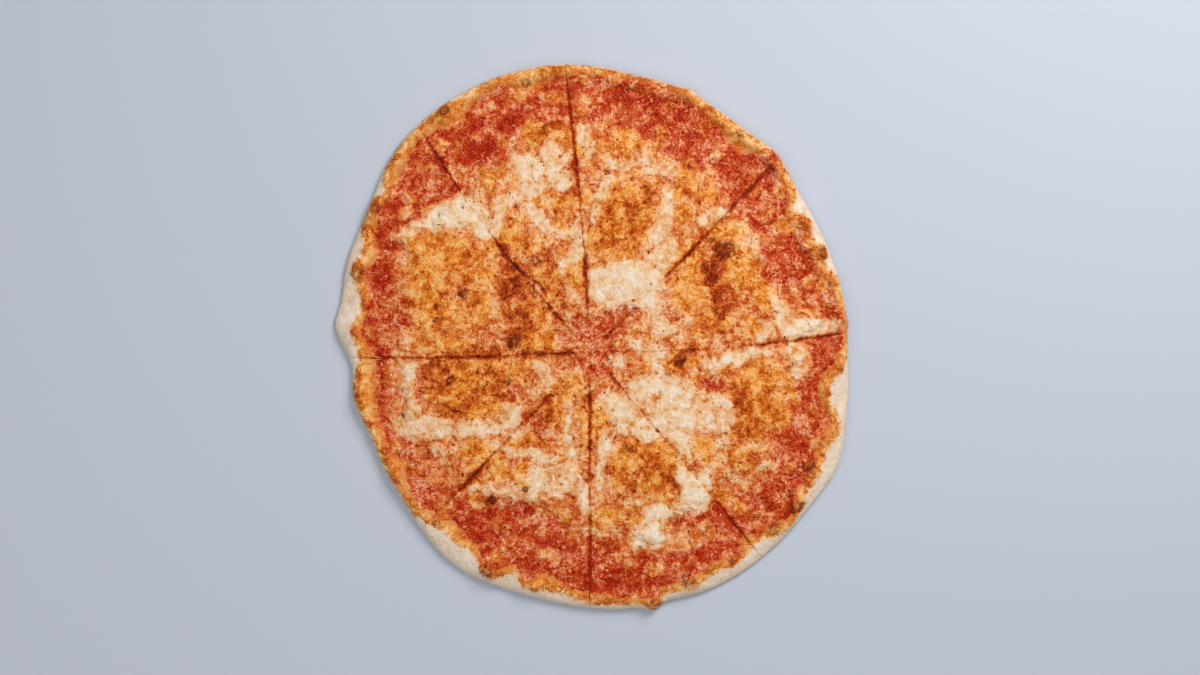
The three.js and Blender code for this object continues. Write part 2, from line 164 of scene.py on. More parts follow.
# Where the cheese is fresh and pale, golden, browned, or thin over the tomato:
# (x, y, half length, half width, turn[, strength]).
CREAM = [
    (-108, 61, 9, 4.5, 20), (-89, 67, 14, 7.5, 20), (-74, 72, 12, 9, -40), (-62, 62, 9, 6, -50), (-56, 69, 5, 7, 0),
    (-50, 79, 8, 4, 0, .8), (-75, 96, 9, 3.5, 35, .7), (-50, 113, 4, 8, -30, .7), (-40, 99, 8, 8, 0),
    (-36, 89, 7, 9, 0, .8), (-24, 104, 8, 7, -30, .9), (-20, 92, 7, 7, 0, .9), (-33, 69, 11, 3.5, -55, .9),
    (-22, 60, 4, 5, 0, .7), (-9, 54, 4.5, 12, 10, .9), (-16, 42, 4, 7, -30, .9), (-34, 24, 2.5, 5, 20, .6),
    (-15, 12, 9, 2, -55, .7), (-28, 20, 10, 1.5, -52, .6), (-8, 118, 3.5, 8, 10, .9), (-4, 109, 5, 5, 0, .9),
    (24, 106, 5, 6, 0, .8), (34, 102, 5, 8, 0, .7), (14, 100, 7, 4, 0, .7), (5, 88, 9, 3.5, 60, .9),
    (0, 73, 3.5, 7, 0, .9), (43, 94, 7, 6, 0, .5), (42, 72, 4.5, 12, 0, .8), (38, 57, 6, 9, 30, .9),
    (44, 50, 4, 8, 0, .7), (13, 30, 20, 14, 6, 1), (30, 33, 11, 11, 0, 1), (36, 42, 6, 10, -30, .9),
    (50, 110, 5, 4, 0, .6), (35, 15, 6, 6, 0, .9), (40, 4, 7, 6, 0, .9), (55, 8, 3, 7, 35, .7),
    (62, 67, 4, 5, 45, .7), (71, 71, 7, 3.5, 0, .8), (80, 77, 3, 5, 0, .5), (88, 66, 4, 4, 0, .6),
    (93, 50, 3.5, 10, 20, .7), (106, 19, 3.5, 8, 25, 1), (111, 10, 6, 8, 30, 1), (116, 4, 8, 6, 0, 1),
    (130, 5.5, 14, 4, 3, 1), (96, 4, 8, 6, 0, .8), (85, -11, 15, 4, 15, .9), (67, -15, 6, 5, 0, .8),
    (117, -12, 4.5, 11, 15, .8), (122, -22, 7, 5, 0, .7), (27, -28, 8, 8, 0, .9), (36, -14, 5, 10, 0, .8),
    (26, -6, 6, 4, 0, .8), (14, -13, 6, 4, -30, .8), (48, -32, 14, 9, -35, 1), (60, -45, 12, 8, -20, 1),
    (72, -38, 7, 4, -30, .8), (76, -50, 8, 7, -50, .8), (44, -48, 12, 9, -45, 1), (50, -62, 9, 6, -20, .9),
    (65, -80, 5, 4, 0, .6), (84, -85, 9, 3, -15, .8), (99, -76, 7, 3, 20, .8), (90, -64, 6, 2, 20, .6),
    (74, -62, 6, 4, 0, .7), (10, -36, 10, 6, 5, .9), (17, -47, 10, 12, 0, 1), (29, -56, 9, 5, -45, 1),
    (5, -64, 5, 7, 0, .9), (3, -78, 3, 9, 0, .7), (9, -84, 4, 4, 0, .6), (54, -88, 5, 12, 25, 1),
    (63, -97, 8, 4, -50, .9), (40, -101, 16, 4.5, 5, .8), (22, -96, 7, 3, 0, .8), (57, -107, 4, 5, -20, .6),
    (32, -113, 9, 8, 0, .8), (46, -116, 9, 3, 0, .7), (27, -124, 9, 4, -20, .8), (-16, -45, 3, 8, 0, .7),
    (-14, -58, 5, 7, 0, .7), (-13, -67, 5, 4, 0, .7), (-17, -79, 8, 4, -40, .9), (-8, -91, 4.5, 9, 20, .9),
    (-6, -100, 6, 3, 0, .7), (-44, -66, 12, 3, -15, .9), (-28, -70, 8, 3, 0, .8), (-33, -84, 10, 9, 0, .9),
    (-20, -88, 6, 6, 0, .8), (-46, -92, 13, 4, -5, .8), (-68, -88, 8, 2, 5, .8), (-48, -113, 4, 4, 0, .5),
    (-35, -103, 5, 4, 0, .6), (-114, -18, 4, 5, 0, .8), (-107, -20, 4, 6, 0, .8), (-111, -33, 6, 10, 0, .8),
    (-108, -50, 10, 9, 0, .9), (-93, -52, 10, 6, 0, .9), (-68, -54, 13, 4.5, 0, 1), (-50, -46, 8, 7, 0, .9),
    (-45, -56, 6, 4, 0, .6), (-90, -70, 8, 2.5, -55, .7), (-30, -22, 9, 3.5, -40, .7), (-33, -33, 7, 2, 30, .6),
    (-10, -23, 4, 3, 0, .6), (-10, -34, 4, 6, 0, .5),
]
GOLD = [
    (-92, 50, 18, 12, -10, 1), (-97, 28, 12, 18, 0, 1), (-92, 12, 12, 10, 0, .9), (-85, -5, 20, 6, -8, .8),
    (-70, 40, 14, 13, 0, .8), (-72, 15, 13, 14, 0, .7), (-58, 53, 9, 5, -20, .8), (-50, 63, 8, 9, 0, .7),
    (-40, 52, 11, 6, 10, .8), (-28, 32, 7, 15, 25, .8), (-35, 5, 11, 16, 0, .7), (-33, -8, 12, 5, 0, .8),
    (-12, 35, 6, 10, 0, .8), (-20, 70, 5, 9, 0, .5), (-62, 91, 8, 6, 0, .9), (-80, 95, 8, 7, 0, .45),
    (-36, 118, 7, 9, 0, .9), (-22, 119, 9, 6, 0, .8), (-13, 109, 3, 8, 15, .8), (-12, 78, 12, 5, 15, .8),
    (-33, 78, 8, 3, -30, .7), (15, 112, 15, 8, 0, .8), (18, 122, 9, 5, 0, .6), (34, 112, 5, 5, 0, .7),
    (20, 72, 16, 13, 0, 1), (12, 55, 17, 11, 10, 1), (53, 92, 6, 12, -5, .9), (50, 72, 3.5, 9, 0, .8),
    (66, 80, 9, 6, 20, .7), (30, 86, 8, 5, 0, .6), (53, 43, 9, 14, 0, .8), (55, 25, 9, 12, 0, .8),
    (62, 10, 5, 12, 0, .7), (76, 60, 11, 7, 0, .9), (86, 38, 13, 12, 0, 1), (98, 25, 6, 10, 0, .8),
    (91, 5, 6, 8, -40, .7), (75, 8, 8, 4, 0, .6), (50, -15, 10, 8, 0, .9), (28, -18, 5, 5, 0, .5),
    (95, -25, 17, 10, 0, .8), (100, -42, 14, 13, 0, 1), (88, -54, 8, 7, 0, .9), (62, -65, 7, 5, -30, .7),
    (86, -72, 6, 10, 20, .7), (112, -40, 5, 11, 0, .7), (30, -69, 18, 10, 0, 1), (38, -85, 13, 12, 0, .9),
    (15, -78, 8, 12, 0, .8), (0, -48, 8, 9, 0, .9), (10, -105, 15, 7, 0, .8), (22, -103, 5, 5, 0, .8),
    (76, -95, 14, 5, -30, .8), (55, -110, 16, 6, -10, .5), (92, -103, 6, 5, 0, .7), (112, -55, 5, 6, 0, .5),
    (-15, -30, 12, 10, 0, .6), (-24, -46, 7, 8, 0, .7), (-70, -68, 10, 8, 0, .9), (-57, -77, 9, 8, 0, .8),
    (-43, -80, 5, 7, 0, .9), (-72, -88, 10, 8, 0, .5), (-20, -105, 5, 10, 0, .5), (-42, -61, 10, 3, 0, .7),
    (-85, -28, 15, 14, 0, 1), (-65, -25, 13, 13, 0, 1), (-70, -42, 16, 5, 0, .9), (-45, -20, 11, 6, 0, .8),
    (-105, -75, 8, 7, 0, .6), (-30, -127, 7, 4, -20, .6), (-5, -60, 4, 10, 0, .6), (-45, 142, 9, 7, 20, .8),
    (85, 115, 10, 6, -40, .8), (112, 65, 8, 5, 0, .8), (130, 50, 6, 6, 0, .7), (132, 29, 6, 5, 0, .6),
    (-60, -130, 9, 8, 0, .7), (5, 3, 5, 4, 0, .4),
]
BROWN = [
    (62, 53, 5, 7, -20, .8), (74, 50, 6, 6, 0, .9), (67, 35, 4.5, 13, 15, .8), (73, 17, 6, 9, 0, .7),
    (73, 2, 8, 3, 0, .6), (18, 54, 9, 6, 0, .6), (21, 72, 6, 7, 0, .6), (8, 46, 10, 4, 0, .4),
    (-33, 45, 6, 8, -30, .9), (-50, 48, 3, 9, 35, .9), (-28, 121, 5, 5, 0, .8), (-5, 37, 2.5, 8, 0, .8),
    (-14, 16, 7, 5, -40, .6), (-50, 28, 12, 13, 0, .7), (-47, 8, 9, 10, 0, .7), (-48, -4, 5, 4, 0, 1),
    (-84, 20, 6, 10, 0, .4), (-58, -9, 34, 3.5, 0, .8), (-103, 42, 5, 12, 0, .3), (-74, 25, 7, 10, 0, .6),
    (-22, -10, 12, 3.5, 0, .8), (-78, 2, 12, 6, 0, .5), (-92, -20, 9, 8, 0, .6), (-62, -21, 12, 4, 0, .6),
    (-57, -33, 9, 6, 0, .6), (-86, -42, 7, 3, 0, .5), (-83, -26, 4, 3, 0, .6), (-32, -45, 6, 9, -25, .7),
    (-38, -54, 5, 5, 0, .7), (-29, -58, 6, 4, 0, .6), (-4, -45, 2.5, 10, 0, .6), (20, -82, 6, 8, 0, .6),
    (46, -84, 4, 9, 10, .7), (36, -91, 8, 4, 20, .6), (33, -76, 5, 4, 0, .3), (82, -36, 3, 14, 15, .8),
    (87, -55, 4, 6, 20, .9), (50, -13, 5, 4, 0, .9), (58, -8, 5, 3, 20, .5), (77, -90, 12, 3, -40, .5),
    (-70, -80, 3, 4, 0, .6), (-62, -96, 5, 4, 0, .7), (96, -40, 6, 5, 0, .3), (-30, 30, 3, 5, 0, .3),
    (7, 96, 3, 3, 0, .8), (28, 82, 8, 4, -40, .5), (60, 60, 3, 3, 0, .5), (-66, 92, 3, 3, 0, .4),
    (-88, -97, 9, 3.5, 40, .5), (45, 138, 7, 7, -40, .6), (-17, 143, 5, 5, 0, .6), (-15, 112, 2, 9, 10, .6),
    (110, -98, 6, 10, -20, .5), (122, -76, 5, 5, 0, .6), (86, -110, 8, 6, 30, .5), (92, 88, 6, 4, 40, .6),
]
TOMATO = [
    (0, -9, 12, 10, 0, 1), (-5, 5, 8, 8, 0, .9), (8, 8, 10, 7, 0, .9), (18, 14, 8, 6, 30, .8), (2, -8, 8, 8, 0, .8),
    (4, -18, 6, 6, 0, .8), (16, 2, 6, 6, 0, .7), (-13, 0, 7, 4, 0, .8), (-20, 22, 4, 8, -50, .5),
    (-22, 3, 8, 4, -40, .6), (-52, 5, 7, 8, 0, .4), (-48, -33, 6, 5, 0, .8), (-36, -48, 7, 6, 30, .8),
    (-29, -58, 7, 3, 0, .7), (-38, -30, 5, 4, 0, .5), (68, -27, 8, 6, 0, .9), (74, 19, 4, 6, 0, .6),
    (-77, -71, 4, 5, 0, .8), (-68, -79, 3, 3, 0, .7), (-55, 28, 5, 4, 0, .5), (-50, 47, 4, 4, 0, .5),
    (62, 54, 2.5, 5, 0, .6), (67, 32, 2.5, 5, 0, .6), (-102, -23, 4, 5, 0, .6), (-100, -35, 4, 7, 0, .7),
    (-115, 10, 9, 9, 0, .7), (-112, 22, 8, 7, 0, .4), (40, 110, 14, 10, -20, .5), (60, 108, 8, 8, 0, .6),
    (-60, 110, 14, 9, 10, .7), (-70, 103, 8, 5, 0, .7), (85, 78, 8, 7, 0, .6), (96, 66, 6, 7, 0, .7),
    (100, 45, 4, 8, 0, .6), (106, 38, 8, 9, 0, .8), (60, -105, 14, 7, 0, .4), (80, -105, 8, 6, 0, .7),
    (-30, -112, 14, 8, 0, .7), (-52, -103, 10, 6, 0, .6), (-65, -110, 9, 7, 0, .7), (-10, -112, 8, 5, 0, .4),
    (10, -90, 8, 4, 0, .3), (100, -62, 8, 6, 0, .3), (-12, -84, 4, 5, 0, .4), (66, -52, 6, 6, 0, .3),
    (-30, 55, 6, 3, 0, .2), (115, -35, 5, 8, 0, .5), (108, -90, 8, 8, 0, .6), (-12, 100, 4, 3, 0, .5),
    (-95, -38, 3, 3, 0, .6), (48, -108, 5, 4, 0, .4), (-26, 14, 3, 8, 45, .4),
]
# Where orange oil has soaked in and the colours are deep, and where the cheese stayed milky.
OILY = [
    (72, 30, 8, 25, 8, 1), (-42, 12, 11, 26, 10, .6), (-73, -32, 27, 14, -4, .6), (91, -42, 10, 17, 10, .6),
    (29, -76, 17, 11, -15, .4), (20, 68, 14, 14, 0, .4), (5, -140, 28, 8, 0, .8), (-124, 44, 8, 24, 8, .7),
    (40, 131, 22, 8, -20, .7), (-62, 118, 20, 10, 30, .6), (-70, -108, 18, 8, -35, .5),
]
MILKY = [
    (-90, 70, 24, 7, 20, .4), (-80, -52, 34, 5, 0, .4), (130, 4, 14, 6, 8, .8), (56, -90, 11, 13, 25, .7),
    (33, -112, 14, 10, 0, .6), (42, -42, 22, 14, -40, .5), (58, -62, 10, 8, -30, .5), (-33, 84, 16, 16, 0, .4),
]
# Slices of mozzarella that melted last, thick and smooth.
SLABS = [
    (19, 30, 18, 14.5, 6, 1), (-91, 69, 11, 4.5, 20, .7), (120, 4, 12, 4, 3, .6), (-74, 73, 8, 5, -40, .6),
    (17, -46, 7, 9, 0, .5), (57, -87, 16, 5.5, -52, .6), (56, -101, 12, 5, 8, .5), (32, -117, 10, 8, 0, .5),
]
# Charred spots of the cheese and of the rim: (x, y, radius, strength).
CHARRED = [
    (-48, -4, 3.4, 1), (-76, 25, 2.6, .8), (-93, 10, 1.4, .8), (-83, -26, 2.2, 1), (-51, -26, 1.8, .9),
    (-111, -45, 1.6, .7), (-41, -89, 1.8, 1), (-61, -95, 3.4, .8), (75, 50, 5, .8), (7, 95, 2, .9), (50, -15, 3, 1),
    (18, -65, 2.6, .6), (67, 56, 2.2, .6), (44, -22, 1.2, .8), (-35, 44, 3.4, .6), (-28, 122, 2.4, .7),
    (-62, -27, 1.4, .6), (36, -56, 1.2, .9), (133, 49, 4.2, .7), (-88, 132, 3.6, .7), (-128, 75, 3, .6),
    (-138, 37, 4.4, .5), (-63, -137, 4, .7), (35, -157, 3.6, .8), (54, -141, 3.6, .7), (118, -99, 4, .8),
    (124, -76, 3.6, .7), (104, -112, 3.4, .6), (112, -92, 2.4, .8), (96, -104, 2, .8), (-92, -108, 2.6, .6),
    (137, 30, 2.4, .6), (-40, 147, 3, .5), (20, 155, 3, .4), (84, 118, 3, .6), (103, 96, 3, .6),
]
# Shallow creases in the melted cheese, which are also painted darker and browner as painted shade: the points they run
# through.
CREASES = [
    [(-55, 48), (-46, 40), (-32, 30), (-22, 8)],
    [(2, 27), (8, 21), (17, 19), (27, 21)],
    [(66, 62), (62, 46), (66, 30), (72, 14)],
    [(-96, -36), (-82, -44), (-64, -46)],
]


def sine(angle):
    return np.sin(np.radians(angle))


def cosine(angle):
    return np.cos(np.radians(angle))


def lattice(ix, iy, seed):
    """A random number from 0 to 1 for each whole-numbered place."""
    n = ix.astype(np.uint32) * np.uint32(374761393) + iy.astype(np.uint32) * np.uint32(668265263)
    n = n + np.uint32(seed * 362437 + 977)
    n = (n ^ (n >> np.uint32(13))) * np.uint32(1274126177)
    n = (n ^ (n >> np.uint32(15))) * np.uint32(2246822519)
    return (n ^ (n >> np.uint32(16))).astype(np.float64) / 2.0**32


def in_lattice(x, y, size):
    u, v = x / size + 517.3, y / size + 311.7
    return u, v, np.floor(u).astype(np.int64), np.floor(v).astype(np.int64)


def ripple(x, y, size, seed):
    """Smooth unevenness of one size, about -1 to 1."""
    u, v, iu, iv = in_lattice(x, y, size)
    fu, fv = u - iu, v - iv
    su, sv = (f**3 * (f * (f * 6 - 15) + 10) for f in (fu, fv))
    out = 0
    for du in (0, 1):
        for dv in (0, 1):
            turn = lattice(iu + du, iv + dv, seed) * 2 * np.pi
            dot = np.cos(turn) * (fu - du) + np.sin(turn) * (fv - dv)
            out = out + dot * (su if du else 1 - su) * (sv if dv else 1 - sv)
    return out * 1.6


def cloud(x, y, size, seed, octaves=3, roughness=0.5):
    """Unevenness of several sizes, about -1 to 1."""
    total, weight, share = 0, 0, 1.0
    for i in range(octaves):
        total = total + share * ripple(x, y, size / 2.03**i, seed + i)
        weight += share * share
        share *= roughness
    return total / np.sqrt(weight)


def cells(x, y, size, seed):
    """Distance to the nearest of scattered points, in steps of that size, and a random number for that point."""
    u, v, iu, iv = in_lattice(x, y, size)
    best, tag = np.full(np.shape(u), 9.0), np.zeros(np.shape(u))
    for du in (-1, 0, 1):
        for dv in (-1, 0, 1):
            px = iu + du + lattice(iu + du, iv + dv, seed)
            py = iv + dv + lattice(iu + du, iv + dv, seed + 1)
            distance = np.hypot(u - px, v - py)
            near = distance < best
            best = np.where(near, distance, best)
            tag = np.where(near, lattice(iu + du, iv + dv, seed + 2), tag)
    return best, tag


def step(x, low, high):
    """0 below low, 1 above high and a smooth climb between."""
    t = np.clip((x - low) / (high - low), 0, 1)
    return t * t * (3 - 2 * t)


def lobes(table, angle):
    turned = [(angle - middle + 180) % 360 - 180 for middle, _, _ in table]
    return sum(reach * np.exp(-((turn / width) ** 2)) for turn, (_, width, reach) in zip(turned, table))


def edge_radius(angle):
    return MEAN_RADIUS + OVAL_REACH * cosine(2 * (angle - OVAL_ANGLE)) + lobes(EDGE_LOBES, angle)


def lip_width(angle):
    return lobes(LIP_LOBES, angle)


def sauce_radius(angle):
    return edge_radius(angle) - lip_width(angle) - SAUCE_MARGIN + lobes(SAUCE_LOBES, angle)


def cheese_radius(angle):
    return MEAN_CHEESE + lobes(CHEESE_LOBES, angle)


def polar(x, y):
    return np.degrees(np.arctan2(y, x)), np.hypot(x, y)


def mounds(table, x, y):
    return sum(height * np.exp(-((x - mx) ** 2 + (y - my) ** 2) / radius**2) for mx, my, radius, height in table)


def spread(patches, x, y):
    """How strongly soft oval patches cover each point, 0 to 1."""
    bare = np.ones(np.shape(x))
    for cx, cy, half_length, half_width, turn, *strength in patches:
        reach = 1.6 * max(half_length, half_width)
        near = (np.abs(x - cx) < reach) & (np.abs(y - cy) < reach)
        if near.any():
            dx, dy = x[near] - cx, y[near] - cy
            along = dx * cosine(turn) + dy * sine(turn)
            across = dy * cosine(turn) - dx * sine(turn)
            distance = np.hypot(along / half_length, across / half_width)
            bare[near] *= 1 - (strength or [1.0])[0] * (1 - step(distance, 0.55, 1.45))
    return 1 - bare


def spots(table, x, y):
    """How charred each point is, 0 to 1, from round spots with ragged edges."""
    ragged = 0.35 * cloud(x, y, 2.2, 901, 2)
    speckle = 0.25 + 0.75 * step(cloud(x, y, 1.7, 911, 2), -0.35, 0.35)
    out = np.zeros(np.shape(x))
    for cx, cy, radius, strength in table:
        near = (np.abs(x - cx) < 2 * radius) & (np.abs(y - cy) < 2 * radius)
        if near.any():
            distance = np.hypot(x[near] - cx, y[near] - cy) / radius + ragged[near]
            ring = np.exp(-(((distance - 0.8) / 0.28) ** 2)) + 0.5 * (1 - step(distance, 0.5, 0.9))
            out[near] = np.maximum(out[near], np.minimum(1.6 * strength * ring * speckle[near], 1))
    return out


def sideways(cut, distance):
    """How far a cut lies to the left of its straight line, at a distance from the cut centre."""
    share = distance / edge_radius(cut[0])
    along = 0 * distance + cut[0]
    wander = 0.5 * cloud(distance, along, 11, 37, 3) + 0.16 * ripple(distance, along, 2.6, 47)
    return 4 * cut[1] * share * (1 - share) + wander * step(distance, 4, 20)


def gape(cut, distance):
    """How wide a cut is open."""
    uneven = (0.7 + 0.55 * cloud(distance, 0 * distance + cut[0], 8, 31, 3, 0.8)) * step(distance, 4, 22)
    wide = sum(0.34 * extra * np.exp(-(((distance - at) / half) ** 2)) for at, half, extra in cut[2])
    return 0.04 + (KNIFE_WIDTH + wide) * uneven


def beside_cuts(x, y):
    """Distance from the open side of the nearest cut, how wide that cut is and how strongly its sides are painted with
    the cut's shade.
    """
    nearest, width, cut_shade = np.full(np.shape(x), 99.0), np.zeros(np.shape(x)), np.zeros(np.shape(x))
    dx, dy = x - CUT_CENTRE[0], y - CUT_CENTRE[1]
    for cut in CUTS:
        along = dx * cosine(cut[0]) + dy * sine(cut[0])
        left = dy * cosine(cut[0]) - dx * sine(cut[0])
        off = np.abs(left - sideways(cut, along)) - gape(cut, along) / 2
        off = np.where(along > 0, off, 99.0)
        closer = off < nearest
        nearest = np.where(closer, off, nearest)
        width = np.where(closer, gape(cut, along), width)
        strength = sum(most * np.exp(-(((along - at) / half) ** 2)) for at, half, most in cut[3])
        cut_shade = np.where(closer, np.clip(0.15 + strength, 0, 1) * step(along, 3, 14), cut_shade)
    return nearest, width, cut_shade


def crease_depth(x, y):
    """How deep each point lies in a crease, 0 to 1."""
    nearest = np.full(np.shape(x), 99.0)
    px, py = x + 0.9 * ripple(x, y, 7, 951), y + 0.9 * ripple(x, y, 7, 955)
    for points in CREASES:
        for (ax, ay), (bx, by) in zip(points, points[1:]):
            length = math.hypot(bx - ax, by - ay)
            tx, ty = (bx - ax) / length, (by - ay) / length
            along = np.clip((px - ax) * tx + (py - ay) * ty, 0, length)
            nearest = np.minimum(nearest, np.hypot(px - ax - along * tx, py - ay - along * ty))
    return 1 - step(nearest, 0.1, 1.1)


BUBBLES_IN_PLACE = [
    ((edge_radius(a) - inset) * cosine(a), (edge_radius(a) - inset) * sine(a), radius, height)
    for a, inset, radius, height in BUBBLES
]


def rim_profile(x, y):
    """Distance in from the edge, and how far the rim has risen from its edge and fallen to the bed."""
    angle, r = polar(x, y)
    inwards = edge_radius(angle) - r
    crest = lip_width(angle) + CREST_INSET
    climb = 1 - np.clip(inwards / crest, 0, 1)
    return inwards, np.sqrt(1 - climb**2), step(inwards, crest, crest + CREST_FALL)


def dough_height(x, y):
    _, rise, fall = rim_profile(x, y)
    rim = EDGE_HEIGHT + (CREST_HEIGHT - EDGE_HEIGHT) * rise - (CREST_HEIGHT - BED_HEIGHT) * fall
    return rim + fall * mounds(SWELLS, x, y) + rise * mounds(BUBBLES_IN_PLACE, x, y)


def drift(x, y):
    """Places moved a little, the way melting pulls the toppings about."""
    wx = x + 2.0 * cloud(x, y, 13, 11, 2)
    wy = y + 2.0 * cloud(x, y, 13, 16, 2)
    return wx + 0.55 * ripple(wx, wy, 3.4, 20), wy + 0.55 * ripple(wx, wy, 3.4, 25)


def sauce_cover(x, y):
    """How far inside the sauce's ragged edge each point is."""
    angle, r = polar(x, y)
    return sauce_radius(angle) - r + 1.7 * cloud(x, y, 7, 61, 3)


def cheese_cover(x, y):
    """How far inside the cheese's ragged edge each point is."""
    wx, wy = drift(x, y)
    angle, r = polar(wx, wy)
    return cheese_radius(angle) - r + 3.2 * cloud(x, y, 6, 67, 3, 0.6)


def streaks(x, y, seed, length=9, width=1.3):
    """Thin strands that lie in several directions, 0 to 1."""
    x, y = x + 1.2 * ripple(x, y, 7, 71), y + 1.2 * ripple(x, y, 7, 75)
    out = np.zeros(np.shape(x))
    for i in range(6):
        turn = 30 * i + 11 * seed % 37
        along, across = x * cosine(turn) + y * sine(turn), y * cosine(turn) - x * sine(turn)
        out = np.maximum(out, step(ripple(along / length, across / width, 1.0, seed + 3 * i), 0.42, 0.75))
    return out


def toppings(x, y):
    """The look of sauce and cheese: how much of each finish there is, its tone from dark to light, and relief."""
    wx, wy = drift(x, y)
    inside = step(cheese_cover(x, y), -9, 9)
    ring = 1 - inside
    tables = (CREAM, GOLD, BROWN, TOMATO, OILY, MILKY)
    cream, gold, brown, tomato, oily, milky = (spread(patches, wx, wy) for patches in tables)
    fine = [cloud(wx, wy, size, seed, 5, 0.8) for size, seed in ((7, 101), (6.5, 161), (5.5, 221))]
    broad = [cloud(wx, wy, 16, seed, 2) for seed in (131, 191, 241)]
    distance, tag = cells(wx, wy, CURD_SPACING, 501)
    curd = 1 - step(distance, 0.2, 0.62)
    distance, island_tag = cells(wx, wy, ISLAND_SPACING, 521)
    size = 0.16 + 0.20 * ((island_tag * 7.3) % 1)
    island = step(size - distance + 0.05 * fine[2], -0.03, 0.03) * (island_tag > 0.45) * ring
    strand = streaks(x, y, 301) * ring
    distance, freckle_tag = cells(wx, wy, FRECKLE_SPACING, 541)
    freckle = step(0.10 + 0.16 * ((freckle_tag * 5.7) % 1) - distance, -0.05, 0.04) * (freckle_tag > 0.7) * inside
    off_cut, cut_width, cut_shade = beside_cuts(x, y)
    # Along each cut the toppings are painted darker and browner, painted shade of the cut line, and redder where tomato
    # shows in the cut.
    cut_shade_width = 0.9 + 0.9 * cut_shade + 0.9 * cut_width
    shade_by_cut = cut_shade * (1 - step(off_cut + 0.7 * cloud(x, y, 2.6, 631, 2), 0.1, cut_shade_width))
    # Creases sink a little and are painted darker and browner, painted shade in them.
    shaded_crease = crease_depth(x, y)
    slab = step(spread(SLABS, wx, wy) + 0.16 * fine[0], 0.2, 0.65)
    char = spots(CHARRED, wx, wy)
    # How strongly each finish pulls: cream, gold, brown, tomato and thin.
    pulls = np.stack([
        0.96 * cream * (0.45 + 0.55 * inside) + 0.42 * fine[0] + 0.18 * broad[0] - 0.06
        + 0.26 * strand + 0.45 * slab - 0.22 * oily + 0.3 * milky,
        0.86 * gold + 0.40 * cream + 0.38 * fine[1] + 0.18 * broad[1] - 0.05 + 0.42 * island * (island_tag > 0.75),
        1.10 * brown + 0.34 * gold + 0.38 * fine[2] - 0.24 * broad[0] - 0.13
        + shade_by_cut * (0.3 + 0.6 * inside) + 0.35 * shaded_crease + 0.7 * char + 0.8 * freckle,
        ring * (1 - 0.45 * np.maximum(cream, gold)) + 0.80 * tomato - 0.37 * fine[0] + 0.34 * broad[2] - 0.10
        - 0.75 * island + shade_by_cut * (0.3 + 0.5 * ring) - 0.25 * milky,
        0.36 - 0.24 * fine[1] + 0.26 * fine[2] + 0.16 * broad[0] + 0.16 * ring + 0.16 * strand + 0.35 * island,
    ])
    weights = np.exp(FINISH_SHARPNESS * (pulls - pulls.max(0)))
    weights /= weights.sum(0)
    wrinkle = 1 - 2.4 * np.abs(cloud(wx, wy, 4.2, 421, 3, 0.6))
    smooth = step(cloud(wx, wy, 13, 611, 3), -0.15, 0.45) * ring
    mottle = 1.1 * cloud(wx, wy, 7, 401, 5, 0.7)
    tone = mottle + 0.7 * (tag - 0.45) * curd + 0.25 * wrinkle + 0.45 * broad[1] + 0.3 * strand
    tone = tone + 0.35 * (streaks(x, y, 341, 7, 1.1) - streaks(x, y, 377, 6, 0.9)) * inside
    tone = tone * (1 - 0.10 * weights[0]) * (1 - 0.5 * smooth) * (1 - 0.25 * slab)
    tone = tone - 0.45 * smooth + 0.05 * weights[0] + 0.32 * slab - 0.6 * oily + 0.4 * milky + 0.09 * inside
    tone = 0.5 + 0.5 * np.tanh(tone - 0.8 * shade_by_cut - 0.35 * shaded_crease - 0.4 * freckle)
    pimples = cloud(wx, wy, 3.8, 441, 3, 0.6)
    relief = 0.28 * weights[0] + 0.05 * weights[1] - 0.20 * weights[2] - 0.28 * weights[3]
    relief = relief + 0.34 * (tone - 0.5) + 0.16 * pimples * (0.4 + weights[1] + weights[2])
    relief = relief + 0.30 * curd * (tag > 0.5) * (weights[3] + weights[4]) + 0.35 * island + 0.18 * strand
    relief = relief + 0.10 * wrinkle - 0.22 * shaded_crease - 0.1 * shade_by_cut
    dip = np.clip(0.10 + 0.9 * cut_width + 0.15 * cut_shade, 0, 0.45) * (1 - step(off_cut, 0, 1.3)) ** 2
    return {"weights": weights, "tone": tone, "char": char, "relief": relief, "off_cut": off_cut, "dip": dip}


